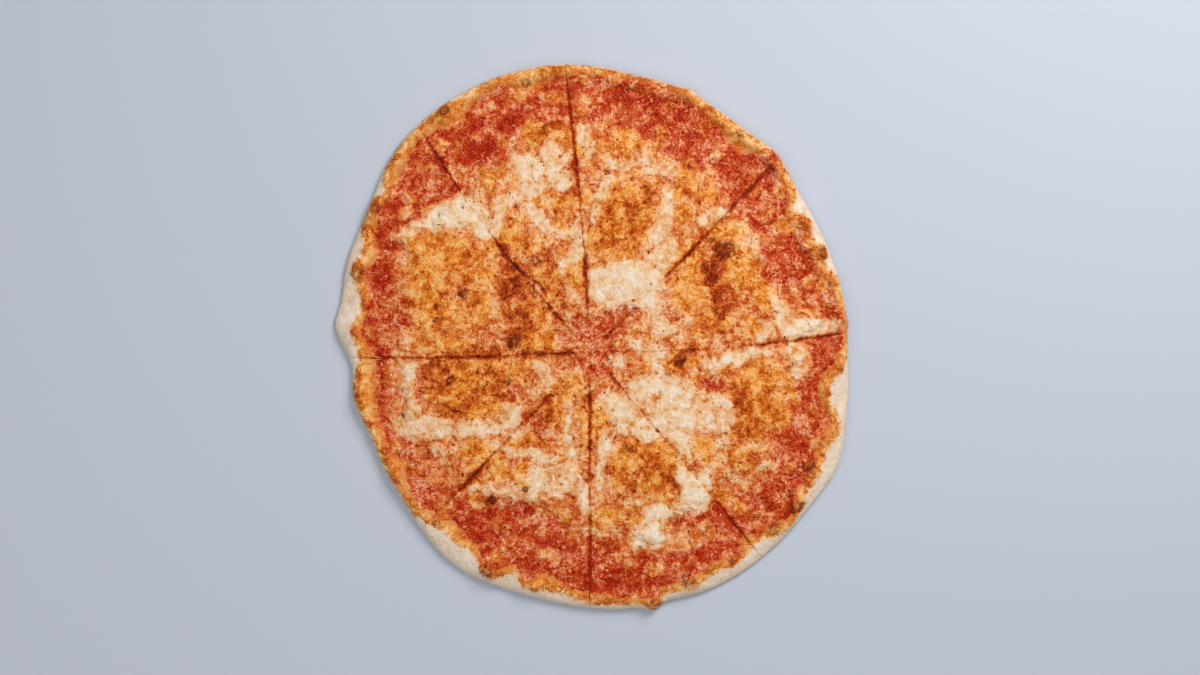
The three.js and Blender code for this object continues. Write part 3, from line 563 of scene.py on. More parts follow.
def crust_look(x, y, below=0.0):
    """The look of the bare crust: golden or floured, its tone, sauce stains, char and relief.

    The pattern runs over the steep side of the rim unstretched, and on down the sides, to points below the edge."""
    inwards, rise, _ = rim_profile(x, y)
    unrolled = 1 + ((CREST_HEIGHT - EDGE_HEIGHT) * (1 - rise) + below) / np.maximum(polar(x, y)[1], 1)
    ux, uy = x * unrolled, y * unrolled
    wx, wy = ux + 1.5 * cloud(ux, uy, 8, 731, 3), uy + 1.5 * cloud(ux, uy, 8, 735, 3)
    angle, _ = polar(wx, wy)
    fine, broad = cloud(wx, wy, 3.6, 741, 4, 0.6), cloud(wx, wy, 11, 751, 2)
    bubble = np.clip(mounds(BUBBLES_IN_PLACE, wx, wy) / 1.6, 0, 1)
    dusted = lip_width(angle) + lobes(FLOUR_LOBES, angle) + 0.3 - inwards + 1.1 * fine
    floured = step(dusted, -1.6, 1.2) * (1 - step(bubble, 0.35, 0.75))
    char = spots(CHARRED, wx, wy)
    stain = step(sauce_cover(x, y), -4.5, 0.5) * (0.55 + 0.45 * fine)
    crest = lip_width(polar(x, y)[0]) + CREST_INSET
    # The inner slope of the rim, where oil from the cheese has run; its tone is also raised there, painted light that
    # makes up for the shade on the slope.
    oily = step(inwards + 0.8 * fine, crest - 0.5, crest + 2.5)
    mottle = (1.05 * fine + 0.8 * broad) * (1 - 0.4 * floured)
    tone = 0.1 + mottle - 0.35 * bubble - 0.4 * stain + 0.4 * floured
    tone = 0.5 + 0.5 * np.tanh(tone + 0.35 * oily * (1 - floured))
    distance, tag = cells(wx, wy, BLISTER_SPACING, 771)
    blister = (1 - step(distance, 0.05, 0.5)) * (tag > 0.45)
    outline = np.exp(-(((distance - 0.42 + 0.08 * fine) / 0.08) ** 2)) * (tag > 0.45) * (1 - floured)
    tone = np.clip(tone - 0.6 * outline * step(fine, -0.5, 0.5), 0, 1)
    relief = 0.28 * broad + 0.16 * fine + 0.5 * blister * (1 - floured) - 0.2 * char
    # The inner slope also gets more sauce stain, a deeper colour that makes up for its shade as well.
    stain = np.clip(stain + 0.15 * oily, 0, 1)
    return {
        "floured": floured, "tone": tone, "char": char, "stain": stain, "oily": oily, "relief": relief, "rise": rise,
    }


# --- colours and settings ---

# Colours from dark to light: {finish: (what it is, [(place on the ramp, sRGB colour), ...])}.
TOPPING_SHADES = {
    "cream": (
        "fresh mozzarella",
        [(0, "#B8561A"), (0.2, "#DA944E"), (0.42, "#E6B280"), (0.7, "#EAC8A3"), (1, "#F1E2D0")],
    ),
    "gold": (
        "golden mozzarella",
        [(0, "#962E02"), (0.22, "#C0560E"), (0.5, "#DA8028"), (0.78, "#ECA550"), (1, "#F6C48C")],
    ),
    "brown": (
        "browned mozzarella",
        [(0, "#5E0E00"), (0.2, "#8E2A00"), (0.5, "#BE500C"), (0.8, "#DE8038"), (1, "#F0B078")],
    ),
    "tomato": (
        "tomato sauce",
        [(0, "#850F00"), (0.22, "#A82002"), (0.5, "#C23E12"), (0.78, "#D87246"), (1, "#EDB08C")],
    ),
    "thin": (
        "mozzarella thin over tomato",
        [(0, "#961E00"), (0.2, "#BA420E"), (0.5, "#DA7A3A"), (0.78, "#E8A86E"), (1, "#F0C8A2")],
    ),
}
CRUST_SHADES = {
    "golden": (
        "golden crust",
        [(0, "#8A2C02"), (0.2, "#C25E12"), (0.5, "#E0903A"), (0.75, "#ECB26C"), (1, "#F2D0A8")],
    ),
    "floured": (
        "floured dough",
        [(0, "#B4845A"), (0.25, "#D3AF8E"), (0.6, "#E0C6AC"), (1, "#EBDAC8")],
    ),
    "crumb": (
        "inside of the dough",
        [(0, "#8E5A2C"), (0.4, "#C99A63"), (0.7, "#E2C394"), (1, "#F0DCB8")],
    ),
    "underside": (
        "toasted underside",
        [(0, "#4A2A12"), (0.3, "#9A6A3C"), (0.6, "#D0A877"), (1, "#E8D6B8")],
    ),
}
OTHER_COLOURS = {
    "char": ("Char", "charred spots of cheese and crust", "#571C05"),
    "oil": ("Oil", "orange oil in the toppings, which tints them", "#FFE69A"),
    "stain": ("Sauce stain", "crust soaked with sauce and oil", "#B8431A"),
    "herb_dark": ("Herbs, dark", "dried oregano in its folds", "#3A1C07"),
    "herb_light": ("Herbs, light", "dried oregano where it is lit", "#7C4818"),
    "curd_dark": ("Curds, dark", "small curds soaked with tomato", "#BE4A20"),
    "curd_light": ("Curds, light", "small curds that stayed pale", "#E39B70"),
    "crumb_dark": ("Crumbs, dark", "burnt crumbs", "#4A2410"),
    "crumb_light": ("Crumbs, light", "toasted crumbs", "#B87838"),
    "board": ("Floor", "painted board under the pizza", "#BDC3CE"),
}


def linear(code):
    """An sRGB hex colour as linear red, green, blue and alpha."""
    channels = (int(code[i : i + 2], 16) / 255 for i in (1, 3, 5))
    return (*(c / 12.92 if c <= 0.04045 else ((c + 0.055) / 1.055) ** 2.4 for c in channels), 1.0)


def colour(name, words, code):
    return FloatVectorProperty(
        name=name, description=f"Colour of the {words}", subtype="COLOR", size=4, min=0, max=1, default=linear(code),
    )


def length(name, words, millimetres, most=20):
    return FloatProperty(
        name=name, description=words, subtype="DISTANCE", unit="LENGTH", precision=5,
        min=0, max=most * MM, default=millimetres * MM,
    )


def shade_colours(shades):
    """One colour setting for each place on each ramp."""
    return {
        f"{finish}_{i}": colour(f"{words.capitalize()} {i + 1}", f"{words}, step {i + 1} from dark to light", code)
        for finish, (words, stops) in shades.items()
        for i, (_, code) in enumerate(stops)
    }


class MARGHERITA_PG_colours(bpy.types.PropertyGroup):
    """Colours of the toppings, the crust and the floor"""

    __annotations__ = {
        **shade_colours(TOPPING_SHADES),
        **shade_colours(CRUST_SHADES),
        **{key: colour(name, words, code) for key, (name, words, code) in OTHER_COLOURS.items()},
    }


class MARGHERITA_PG_sizes(bpy.types.PropertyGroup):
    """Sizes and amounts of the details"""

    spacing: length("Mesh spacing", "Distance between the points of the surfaces that show", 0.45)
    hidden_spacing: length("Hidden spacing", "Distance between the points of the surfaces that don't show", 4.5)
    pimple_height: length("Pimple height", "Height of the fine pimples of the baked surfaces", 0.16)
    pimple_size: length("Pimple size", "Distance between the fine pimples", 1.5)
    herb_size: length("Herb size", "Half length of the largest herb flecks", 1.0)
    curd_size: length("Curd size", "Half length of the largest curds", 1.5)
    shred_length: length("Shred length", "Length of the torn shreds of cheese", 10, 60)
    shred_width: length("Shred width", "Half width of the torn shreds", 0.45)
    crumb_size: length("Crumb size", "Half length of the largest crumbs", 0.6)
    herbs: FloatProperty(name="Herbs", description="Herb flecks on a square metre", min=0, default=8000)
    curds: FloatProperty(name="Curds", description="Curds on a square metre of sauce", min=0, default=26000)
    shreds: FloatProperty(name="Shreds", description="Torn shreds on a square metre of sauce", min=0, default=5200)
    crumbs: FloatProperty(name="Crumbs", description="Crumbs on a square metre of crust", min=0, default=9000)
    seed: IntProperty(name="Seed", description="Start of the random scatter", default=7)


def settings():
    scene = bpy.context.scene
    return scene.margherita_sizes, scene.margherita_colours


# --- meshes ---

DIRECTION_STEP = 0.1
DIRECTIONS = np.arange(0, 360, DIRECTION_STEP)
VISIBLE_RIM = 15  # how far in from the edge the crust is finely meshed
COVERED_RIM = 27  # and how far in it is meshed well enough to carry the sauce
ROW_STEP = 0.9  # between hidden rows, whose ends still show at the cuts
COVERED_SPACING = 0.75
CREST_ROWS, CREST_CURVE = 17, 0.0128  # rows that crowd towards the steep edge
SHARP_ANGLE = math.radians(58)


def from_cut_centre(radius_of):
    """An outline as distances from the cut centre, one for each of DIRECTIONS."""
    angle = np.arange(-180, 180, 0.05)
    x, y = radius_of(angle) * cosine(angle) - CUT_CENTRE[0], radius_of(angle) * sine(angle) - CUT_CENTRE[1]
    direction, distance = polar(x, y)
    return np.interp(DIRECTIONS, direction % 360, distance, period=360)


def towards(radii, direction):
    """Radii in any direction, read between DIRECTIONS."""
    place = (direction % 360) / DIRECTION_STEP
    i = np.floor(place).astype(int)
    share = place - i
    count = len(DIRECTIONS)
    return radii[..., i % count] * (1 - share) + radii[..., (i + 1) % count] * share


def row_ends(radii, cut, side, inset):
    """The direction at which each row meets one side of a cut."""
    distance = np.arange(0, 186, 0.1)
    left = sideways(cut, distance) + side * (gape(cut, distance) / 2 + inset)
    x = distance * cosine(cut[0]) - left * sine(cut[0])
    y = distance * sine(cut[0]) + left * cosine(cut[0])
    direction, reach = polar(x, y)
    direction = cut[0] + (direction - cut[0] + 180) % 360 - 180
    beyond = reach[None, :] - towards(radii, direction)
    rows = np.arange(len(radii))
    first = np.argmax(beyond > 0, axis=1)
    last = np.maximum(first - 1, 0)
    low, high = beyond[rows, last], beyond[rows, first]
    share = np.where(first > 0, low / np.where(low == high, 1, low - high), 0)
    return direction[last] + (direction[first] - direction[last]) * share


def stitch(a, a_place, b, b_place):
    """Triangles between two lines of points that run side by side, b to the outside of a or below it."""
    when = np.concatenate([(a_place[:-1] + a_place[1:]) / 2, (b_place[:-1] + b_place[1:]) / 2])
    order = np.argsort(when, kind="stable")
    on_a = order < len(a) - 1
    i, j = np.cumsum(on_a) - on_a, np.cumsum(~on_a) - ~on_a
    third = np.where(on_a, a[np.minimum(i + 1, len(a) - 1)], b[np.minimum(j + 1, len(b) - 1)])
    return np.stack([a[i], b[j], third], 1)


def fan(slice_number, radii, spacing, inset=0.0):
    """The plan of one slice: rows of points from its tip out, the triangles between them, and its border.

    place tells how far along the border each of its points is, and on_edge which of them are on the outer edge."""
    start = row_ends(radii, CUTS[slice_number - 1], 1, inset)
    end = row_ends(radii, CUTS[slice_number % len(CUTS)], -1, inset)
    span = (end - start + 180) % 360 - 180
    middle = np.array([towards(row, at) for row, at in zip(radii, start + span / 2)])
    width = np.radians(span) * middle
    first = int(np.argmax((width > 0.12) & (np.arange(len(width)) > 0)))
    growth = (width[first + 1] - width[first]) / (middle[first + 1] - middle[first])
    tip = np.clip(middle[first] - width[first] / growth, 0.1, middle[first] - 0.05)
    directions, reaches = [start[first : first + 1] + span[first] / 2], [np.array([tip])]
    for k in range(first, len(radii)):
        count = max(2, round(width[k] / spacing[k]) + 1)
        directions.append(start[k] + span[k] * np.linspace(0, 1, count))
        reaches.append(towards(radii[k], directions[-1]))
    counts = np.array([len(row) for row in directions])
    starts = np.cumsum(counts) - counts
    rows = [np.arange(s, s + c) for s, c in zip(starts, counts)]
    places = [np.linspace(0, 1, c) if c > 1 else np.zeros(1) for c in counts]
    triangles = np.concatenate([stitch(a, pa, b, pb) for a, pa, b, pb in zip(rows, places, rows[1:], places[1:])])
    direction, reach = np.concatenate(directions), np.concatenate(reaches)
    near, far = starts[:-1], (starts + counts - 1)[-2:0:-1]
    along_near, along_far = reach[near] / reach[starts[-1]], reach[far] / reach[starts[-1]]
    outermost = len(near) + np.arange(1, counts[-1] - 1)
    return {
        "x": CUT_CENTRE[0] + reach * cosine(direction),
        "y": CUT_CENTRE[1] + reach * sine(direction),
        "triangles": triangles,
        "border": np.concatenate([near, rows[-1], far]),
        "place": np.concatenate([along_near, 1 + places[-1], 3 - along_far]),
        "on_edge": np.isin(np.arange(len(near) + counts[-1] + len(far)), outermost),
    }


def closed_layer(top, top_z, base, base_z, levels, push=None):
    """Points and triangles of a layer: its top, its walls and its underside.

    push says how far a wall's points move out of the cut side that they are on, and in towards the middle."""
    x, y = top["x"][top["border"]], top["y"][top["border"]]
    z, low = top_z[top["border"]], base_z(x, y)
    on_edge = top["on_edge"]
    after, before = np.roll(on_edge, -1) & ~on_edge, np.roll(on_edge, 1) & ~on_edge  # the corners
    tangent_x, tangent_y = (
        np.where(after, v, np.roll(v, -1)) - np.where(before, v, np.roll(v, 1)) for v in (x, y)
    )
    size, r = np.maximum(np.hypot(tangent_x, tangent_y), 1e-9), np.hypot(x, y)
    points = [np.stack([top["x"], top["y"], top_z], 1)]
    loops = [top["border"]]
    triangles = [top["triangles"]]
    count = len(top_z)
    for level in levels:
        out, back = push(level, x, y) if push else (0, 0)
        out = np.where(on_edge, 0, out / size)
        px, py = x + out * tangent_y - back * x / r, y - out * tangent_x - back * y / r
        points.append(np.stack([px, py, z + (low - z) * level], 1))
        loops.append(np.arange(count, count + len(x)))
        count += len(x)
    for upper, lower in zip(loops, loops[1:]):
        u, l, un, ln = upper, lower, np.roll(upper, -1), np.roll(lower, -1)
        triangles += [np.stack([l, ln, un], 1), np.stack([l, un, u], 1)]
    points.append(np.stack([base["x"], base["y"], base_z(base["x"], base["y"])], 1))
    triangles.append(base["triangles"][:, ::-1] + count)
    wall, under = (np.append(loop, loop[0]) for loop in (loops[-1], base["border"] + count))
    triangles.append(stitch(wall, np.append(top["place"], 3.0), under, np.append(base["place"], 3.0)))
    part = np.concatenate([np.full(len(p), i) for i, p in enumerate(points)])
    return np.concatenate(points), np.concatenate(triangles), part / max(part.max(), 1)


def make_object(name, points, triangles, values, material):
    """A smooth mesh object in metres with one attribute for each of values."""
    made = bpy.data.meshes.new(name)
    made.vertices.add(len(points))
    made.vertices.foreach_set("co", (points * MM).astype(np.float32).ravel())
    made.loops.add(triangles.size)
    made.loops.foreach_set("vertex_index", triangles.astype(np.int32).ravel())
    made.polygons.add(len(triangles))
    made.polygons.foreach_set("loop_start", np.arange(0, triangles.size, 3, dtype=np.int32))
    made.polygons.foreach_set("use_smooth", np.ones(len(triangles), bool))
    made.update(calc_edges=True)
    for key, value in values.items():
        kind, field = ("FLOAT_COLOR", "color") if value.ndim == 2 else ("FLOAT", "value")
        made.attributes.new(key, kind, "POINT").data.foreach_set(field, value.astype(np.float32).ravel())
    made.set_sharp_from_angle(angle=SHARP_ANGLE)
    if material:
        made.materials.append(material)
    piece = bpy.data.objects.new(name, made)
    bpy.context.scene.collection.objects.link(piece)
    return piece


def as_mesh(piece):
    """Turns the result of a piece's modifiers into its own plain mesh."""
    graph = bpy.context.evaluated_depsgraph_get()
    shaped = piece.evaluated_get(graph)
    baked = bpy.data.meshes.new_from_object(shaped, preserve_all_data_layers=True, depsgraph=graph)
    old = piece.data
    piece.modifiers.clear()
    piece.data = baked
    bpy.data.meshes.remove(old)
    baked.name = piece.name
    return piece


# --- nodes ---


def add(tree, kind, sockets=None, **values):
    """A new node with its settings, and its inputs set to numbers or linked to other nodes' outputs."""
    made = tree.nodes.new(kind)
    for key, value in values.items():
        if key == "stops":
            ramp = made.color_ramp.elements
            while len(ramp) < len(value):
                ramp.new(0.5)
            for element, (place, shade) in zip(ramp, value):
                element.position, element.color = place, shade
        else:
            setattr(made, key, value)
    for key, value in (sockets or {}).items():
        if isinstance(value, bpy.types.NodeSocket):
            tree.links.new(value, made.inputs[key])
        else:
            made.inputs[key].default_value = value
    return made


def new_material(name):
    material = bpy.data.materials.new(name)
    material.use_nodes = True
    material.node_tree.nodes.clear()
    return material, material.node_tree


def new_geometry_tree(name, inputs):
    """A geometry node tree with named inputs, and its group input node."""
    tree = bpy.data.node_groups.new(name, "GeometryNodeTree")
    tree.interface.new_socket("Geometry", in_out="INPUT", socket_type="NodeSocketGeometry")
    for key, kind in inputs.items():
        tree.interface.new_socket(key, in_out="INPUT", socket_type=f"NodeSocket{kind}")
    tree.interface.new_socket("Geometry", in_out="OUTPUT", socket_type="NodeSocketGeometry")
    return tree, add(tree, "NodeGroupInput")


def end_tree(tree, given, geometry):
    """Ends a geometry node tree in plain geometry that wears the given material."""
    plain = add(tree, "GeometryNodeRealizeInstances", {"Geometry": geometry})
    worn = add(tree, "GeometryNodeSetMaterial", {"Geometry": plain.outputs[0], "Material": given.outputs["Material"]})
    smooth = add(tree, "GeometryNodeSetShadeSmooth", {"Geometry": worn.outputs[0]})
    add(tree, "NodeGroupOutput", {0: smooth.outputs[0]})
    return tree


def run_tree(piece, tree, **inputs):
    """Runs a geometry node tree on a piece and keeps the result as its mesh."""
    modifier = piece.modifiers.new(tree.name, "NODES")
    modifier.node_group = tree
    given = [item for item in tree.interface.items_tree if item.in_out == "INPUT"]
    names = {item.name.lower(): item.identifier for item in given}
    for key, value in inputs.items():
        modifier[names[key]] = value
    return as_mesh(piece)


def relief_tree():
    """Fine pimples over a baked surface, as high as its attribute rough says."""
    inputs = {"Height": "Float", "Size": "Float", "Seed": "Float", "Material": "Material"}
    tree, given = new_geometry_tree("Baked relief", inputs)
    place = add(tree, "GeometryNodeInputPosition")
    scale = add(tree, "ShaderNodeMath", {0: 1.0, 1: given.outputs["Size"]}, operation="DIVIDE")
    noise = add(
        tree, "ShaderNodeTexNoise",
        {
            "Vector": place.outputs[0], "W": given.outputs["Seed"], "Scale": scale.outputs[0],
            "Detail": 2.5, "Roughness": 0.6,
        },
        noise_dimensions="4D",
    )
    centred = add(tree, "ShaderNodeMath", {0: noise.outputs[0], 1: 0.5}, operation="SUBTRACT")
    rough = add(tree, "GeometryNodeInputNamedAttribute", {"Name": "rough"}, data_type="FLOAT")
    amount = add(tree, "ShaderNodeMath", {0: given.outputs["Height"], 1: rough.outputs[0]}, operation="MULTIPLY")
    lift = add(tree, "ShaderNodeMath", {0: centred.outputs[0], 1: amount.outputs[0]}, operation="MULTIPLY")
    # Noise strays about a quarter to either side of its middle, so four times that is the full height.
    full = add(tree, "ShaderNodeMath", {0: lift.outputs[0], 1: 4.0}, operation="MULTIPLY")
    normal = add(tree, "GeometryNodeInputNormal")
    offset = add(tree, "ShaderNodeVectorMath", {0: normal.outputs[0], "Scale": full.outputs[0]}, operation="SCALE")
    moved = add(tree, "GeometryNodeSetPosition", {"Geometry": given.outputs["Geometry"], "Offset": offset.outputs[0]})
    return end_tree(tree, given, moved.outputs[0])


def scatter_tree(name, subdivisions, proportions, lumps):
    """Small rounded bits of random size and turn on the surfaces where an attribute says, a little sunk in."""
    inputs = {"Where": "String", "Density": "Float", "Smallest": "Float", "Largest": "Float", "Sunk": "Float"}
    tree, given = new_geometry_tree(name, {**inputs, "Seed": "Int", "Material": "Material"})
    get = given.outputs
    where = add(tree, "GeometryNodeInputNamedAttribute", {"Name": get["Where"]}, data_type="FLOAT")
    density = add(tree, "ShaderNodeMath", {0: where.outputs[0], 1: get["Density"]}, operation="MULTIPLY")
    spots_on = add(
        tree, "GeometryNodeDistributePointsOnFaces",
        {"Mesh": get["Geometry"], "Density": density.outputs[0], "Seed": get["Seed"]},
    )
    bit = add(tree, "GeometryNodeMeshIcoSphere", {"Radius": 1.0, "Subdivisions": subdivisions})
    flat = add(tree, "GeometryNodeTransform", {"Geometry": bit.outputs[0], "Scale": proportions})
    angle = add(tree, "FunctionNodeRandomValue", {2: 0.0, 3: math.tau, "Seed": 1}, data_type="FLOAT")
    turn = add(tree, "FunctionNodeAxisAngleToRotation", {"Axis": (0, 0, 1), "Angle": angle.outputs[1]})
    lying = add(
        tree, "FunctionNodeRotateRotation",
        {"Rotation": spots_on.outputs["Rotation"], "Rotate By": turn.outputs[0]}, rotation_space="LOCAL",
    )
    even = add(tree, "FunctionNodeRandomValue", {2: 0.0, 3: 1.0, "Seed": 2}, data_type="FLOAT")
    few_large = add(tree, "ShaderNodeMath", {0: even.outputs[1], 1: 2.2}, operation="POWER")
    size = add(
        tree, "ShaderNodeMapRange",
        {"Value": few_large.outputs[0], "To Min": get["Smallest"], "To Max": get["Largest"]},
    )
    bits = add(
        tree, "GeometryNodeInstanceOnPoints",
        {
            "Points": spots_on.outputs[0], "Instance": flat.outputs[0],
            "Rotation": lying.outputs[0], "Scale": size.outputs[0],
        },
    )
    down = add(tree, "ShaderNodeCombineXYZ", {2: get["Sunk"]})
    lowered = add(
        tree, "GeometryNodeTranslateInstances", {"Instances": bits.outputs[0], "Translation": down.outputs[0]},
    )
    shade = add(tree, "FunctionNodeRandomValue", {2: 0.0, 3: 1.0, "Seed": 3}, data_type="FLOAT")
    toned = add(
        tree, "GeometryNodeStoreNamedAttribute",
        {"Geometry": lowered.outputs[0], "Name": "tone", "Value": shade.outputs[1]},
        data_type="FLOAT", domain="INSTANCE",
    )
    plain = add(tree, "GeometryNodeRealizeInstances", {"Geometry": toned.outputs[0]})
    noise = add(tree, "ShaderNodeTexNoise", {"Scale": 0.7 / MM, "Detail": 1.0})
    centred = add(tree, "ShaderNodeVectorMath", {0: noise.outputs["Color"], 1: (0.5, 0.5, 0.5)}, operation="SUBTRACT")
    uneven = add(tree, "ShaderNodeVectorMath", {0: centred.outputs[0], "Scale": lumps * MM}, operation="SCALE")
    moved = add(tree, "GeometryNodeSetPosition", {"Geometry": plain.outputs[0], "Offset": uneven.outputs[0]})
    return end_tree(tree, given, moved.outputs[0])


def shreds_tree():
    """Curly, tapering strands that lie on the surface below them."""
    inputs = {"Where": "String", "Density": "Float", "Length": "Float", "Width": "Float"}
    tree, given = new_geometry_tree("Torn shreds", {**inputs, "Seed": "Int", "Material": "Material"})
    get = given.outputs
    where = add(tree, "GeometryNodeInputNamedAttribute", {"Name": get["Where"]}, data_type="FLOAT")
    density = add(tree, "ShaderNodeMath", {0: where.outputs[0], 1: get["Density"]}, operation="MULTIPLY")
    spots_on = add(
        tree, "GeometryNodeDistributePointsOnFaces",
        {"Mesh": get["Geometry"], "Density": density.outputs[0], "Seed": get["Seed"]},
    )
    line = add(tree, "GeometryNodeCurvePrimitiveLine", {"Start": (-0.5, 0, 0), "End": (0.5, 0, 0)})
    fine_line = add(tree, "GeometryNodeResampleCurve", {"Curve": line.outputs[0], "Count": 10})
    angle = add(tree, "FunctionNodeRandomValue", {2: 0.0, 3: math.tau, "Seed": 4}, data_type="FLOAT")
    turn = add(tree, "ShaderNodeCombineXYZ", {2: angle.outputs[1]})
    share = add(tree, "FunctionNodeRandomValue", {2: 0.35, 3: 1.0, "Seed": 5}, data_type="FLOAT")
    long = add(tree, "ShaderNodeMath", {0: share.outputs[1], 1: get["Length"]}, operation="MULTIPLY")
    strands = add(
        tree, "GeometryNodeInstanceOnPoints",
        {
            "Points": spots_on.outputs[0], "Instance": fine_line.outputs[0],
            "Rotation": turn.outputs[0], "Scale": long.outputs[0],
        },
    )
    shade = add(tree, "FunctionNodeRandomValue", {2: 0.1, 3: 0.7, "Seed": 6}, data_type="FLOAT")
    toned = add(
        tree, "GeometryNodeStoreNamedAttribute",
        {"Geometry": strands.outputs[0], "Name": "tone", "Value": shade.outputs[1]},
        data_type="FLOAT", domain="INSTANCE",
    )
    plain = add(tree, "GeometryNodeRealizeInstances", {"Geometry": toned.outputs[0]})
    noise = add(tree, "ShaderNodeTexNoise", {"Scale": 0.16 / MM, "Detail": 1.0})
    centred = add(tree, "ShaderNodeVectorMath", {0: noise.outputs["Color"], 1: (0.5, 0.5, 0.5)}, operation="SUBTRACT")
    curl = add(tree, "ShaderNodeVectorMath", {0: centred.outputs[0], 1: (14 * MM, 14 * MM, 0)}, operation="MULTIPLY")
    curled = add(tree, "GeometryNodeSetPosition", {"Geometry": plain.outputs[0], "Offset": curl.outputs[0]})
    place = add(tree, "GeometryNodeInputPosition")
    above = add(tree, "ShaderNodeVectorMath", {0: place.outputs[0], 1: (0, 0, 30 * MM)})
    hit = add(
        tree, "GeometryNodeRaycast",
        {
            "Target Geometry": get["Geometry"], "Source Position": above.outputs[0],
            "Ray Direction": (0, 0, -1), "Ray Length": 60 * MM,
        },
    )
    seated = add(
        tree, "GeometryNodeSetPosition",
        {"Geometry": curled.outputs[0], "Selection": hit.outputs["Is Hit"], "Position": hit.outputs["Hit Position"]},
    )
    along = add(tree, "GeometryNodeSplineParameter")
    arch = add(tree, "ShaderNodeMath", {0: along.outputs[0], 1: math.pi}, operation="MULTIPLY")
    rounded = add(tree, "ShaderNodeMath", {0: arch.outputs[0]}, operation="SINE")
    blunt = add(tree, "ShaderNodeMath", {0: rounded.outputs[0], 1: 0.6}, operation="POWER")
    wide = add(tree, "ShaderNodeMath", {0: blunt.outputs[0], 1: get["Width"]}, operation="MULTIPLY")
    held = add(tree, "ShaderNodeMath", {0: wide.outputs[0], 1: 0.12 * MM}, operation="MAXIMUM")
    upright = add(tree, "GeometryNodeSetCurveNormal", {"Curve": seated.outputs[0]}, mode="Z_UP")
    circle = add(tree, "GeometryNodeCurvePrimitiveCircle", {"Resolution": 7, "Radius": 1.0})
    profile = add(tree, "GeometryNodeTransform", {"Geometry": circle.outputs[0], "Scale": (1, 0.35, 1)})
    solid = add(
        tree, "GeometryNodeCurveToMesh",
        {"Curve": upright.outputs[0], "Profile Curve": profile.outputs[0], "Scale": held.outputs[0], "Fill Caps": True},
    )
    return end_tree(tree, given, solid.outputs[0])


def blended(tree, shades, tone, shares):
    """The shades of several finishes at one tone, blended by how much of each there is."""
    _, colours = settings()
    total = (0, 0, 0)
    for finish, share in shares.items():
        stops = [(place, getattr(colours, f"{finish}_{i}")) for i, (place, _) in enumerate(shades[finish][1])]
        ramp = add(tree, "ShaderNodeValToRGB", {0: tone}, stops=stops)
        mixed = add(tree, "ShaderNodeVectorMath", {0: ramp.outputs[0], 1: share, 2: total}, operation="MULTIPLY_ADD")
        total = mixed.outputs[0]
    return total


def end_material(tree, colour_socket, roughness, height, depth, **constants):
    """Ends a material in a shader with a bump that is depth high."""
    bump = add(tree, "ShaderNodeBump", {"Strength": 1.0, "Distance": depth, "Height": height})
    sockets = {"Base Color": colour_socket, "Roughness": roughness, "Normal": bump.outputs[0]}
    sockets.update({key.replace("_", " "): value for key, value in constants.items()})
    shader = add(tree, "ShaderNodeBsdfPrincipled", sockets)
    add(tree, "ShaderNodeOutputMaterial", {0: shader.outputs[0]})


def topping_material(name, roughness, **constants):
    """Sauce or melted cheese: oily and smooth, mottled where it browned, with fine curdled grain."""
    _, colours = settings()
    material, tree = new_material(name)
    place = add(tree, "ShaderNodeTexCoord").outputs["Object"]
    tone, tomato, thin, char = (
        add(tree, "ShaderNodeAttribute", attribute_name=key).outputs["Fac"]
        for key in ("tone", "tomato", "thin", "char")
    )
    melt = add(tree, "ShaderNodeAttribute", attribute_name="melt").outputs["Color"]
    shares = add(tree, "ShaderNodeSeparateColor", {0: melt}).outputs
    # Curdled grain, 1.3 mm across, pulled into short curls.
    grain = add(
        tree, "ShaderNodeTexNoise",
        {"Vector": place, "Scale": 1 / (1.3 * MM), "Detail": 4.0, "Roughness": 0.75, "Distortion": 1.1},
    ).outputs[0]
    grainy = add(tree, "ShaderNodeMath", {0: grain, 1: 2.1, 2: -1.05}, operation="MULTIPLY_ADD").outputs[0]
    soft = add(tree, "ShaderNodeMath", {0: shares[0], 1: -0.4, 2: 1.0}, operation="MULTIPLY_ADD").outputs[0]
    calm = add(tree, "ShaderNodeMath", {0: tomato, 1: 0.55, 2: soft}, operation="MULTIPLY_ADD").outputs[0]
    shade = add(tree, "ShaderNodeMath", {0: grainy, 1: calm, 2: tone}, operation="MULTIPLY_ADD").outputs[0]
    finishes = {"cream": shares[0], "gold": shares[1], "brown": shares[2], "tomato": tomato, "thin": thin}
    base = blended(tree, TOPPING_SHADES, shade, finishes)
    # Orange oil, which has soaked in here and there, in stains 5 mm across.
    soaked = add(
        tree, "ShaderNodeTexNoise", {"Vector": place, "Scale": 1 / (5 * MM), "Detail": 4.0, "Roughness": 0.65},
    ).outputs[0]
    most = add(tree, "ShaderNodeMath", {0: shares[0], 1: -0.55, 2: 0.85}, operation="MULTIPLY_ADD").outputs[0]
    tint = add(tree, "ShaderNodeMapRange", {0: soaked, 1: 0.48, 2: 0.64, 3: 0.0, 4: most}).outputs[0]
    base = add(
        tree, "ShaderNodeMix", {0: tint, 6: base, 7: colours.oil}, data_type="RGBA", blend_type="MULTIPLY",
    ).outputs[2]
    burnt = add(tree, "ShaderNodeMath", {0: char, 1: 0.85}, operation="MULTIPLY").outputs[0]
    charred = add(tree, "ShaderNodeMix", {0: burnt, 6: base, 7: colours.char}, data_type="RGBA").outputs[2]
    # Oil pools on the golden parts, which shine more than the fresh ones.
    oily = add(tree, "ShaderNodeMath", {0: shares[1], 1: -0.10, 2: roughness}, operation="MULTIPLY_ADD").outputs[0]
    gloss = add(tree, "ShaderNodeMath", {0: grain, 1: 0.16, 2: oily}, operation="MULTIPLY_ADD").outputs[0]
    end_material(tree, charred, gloss, grain, 0.22 * MM, **constants)
    return material


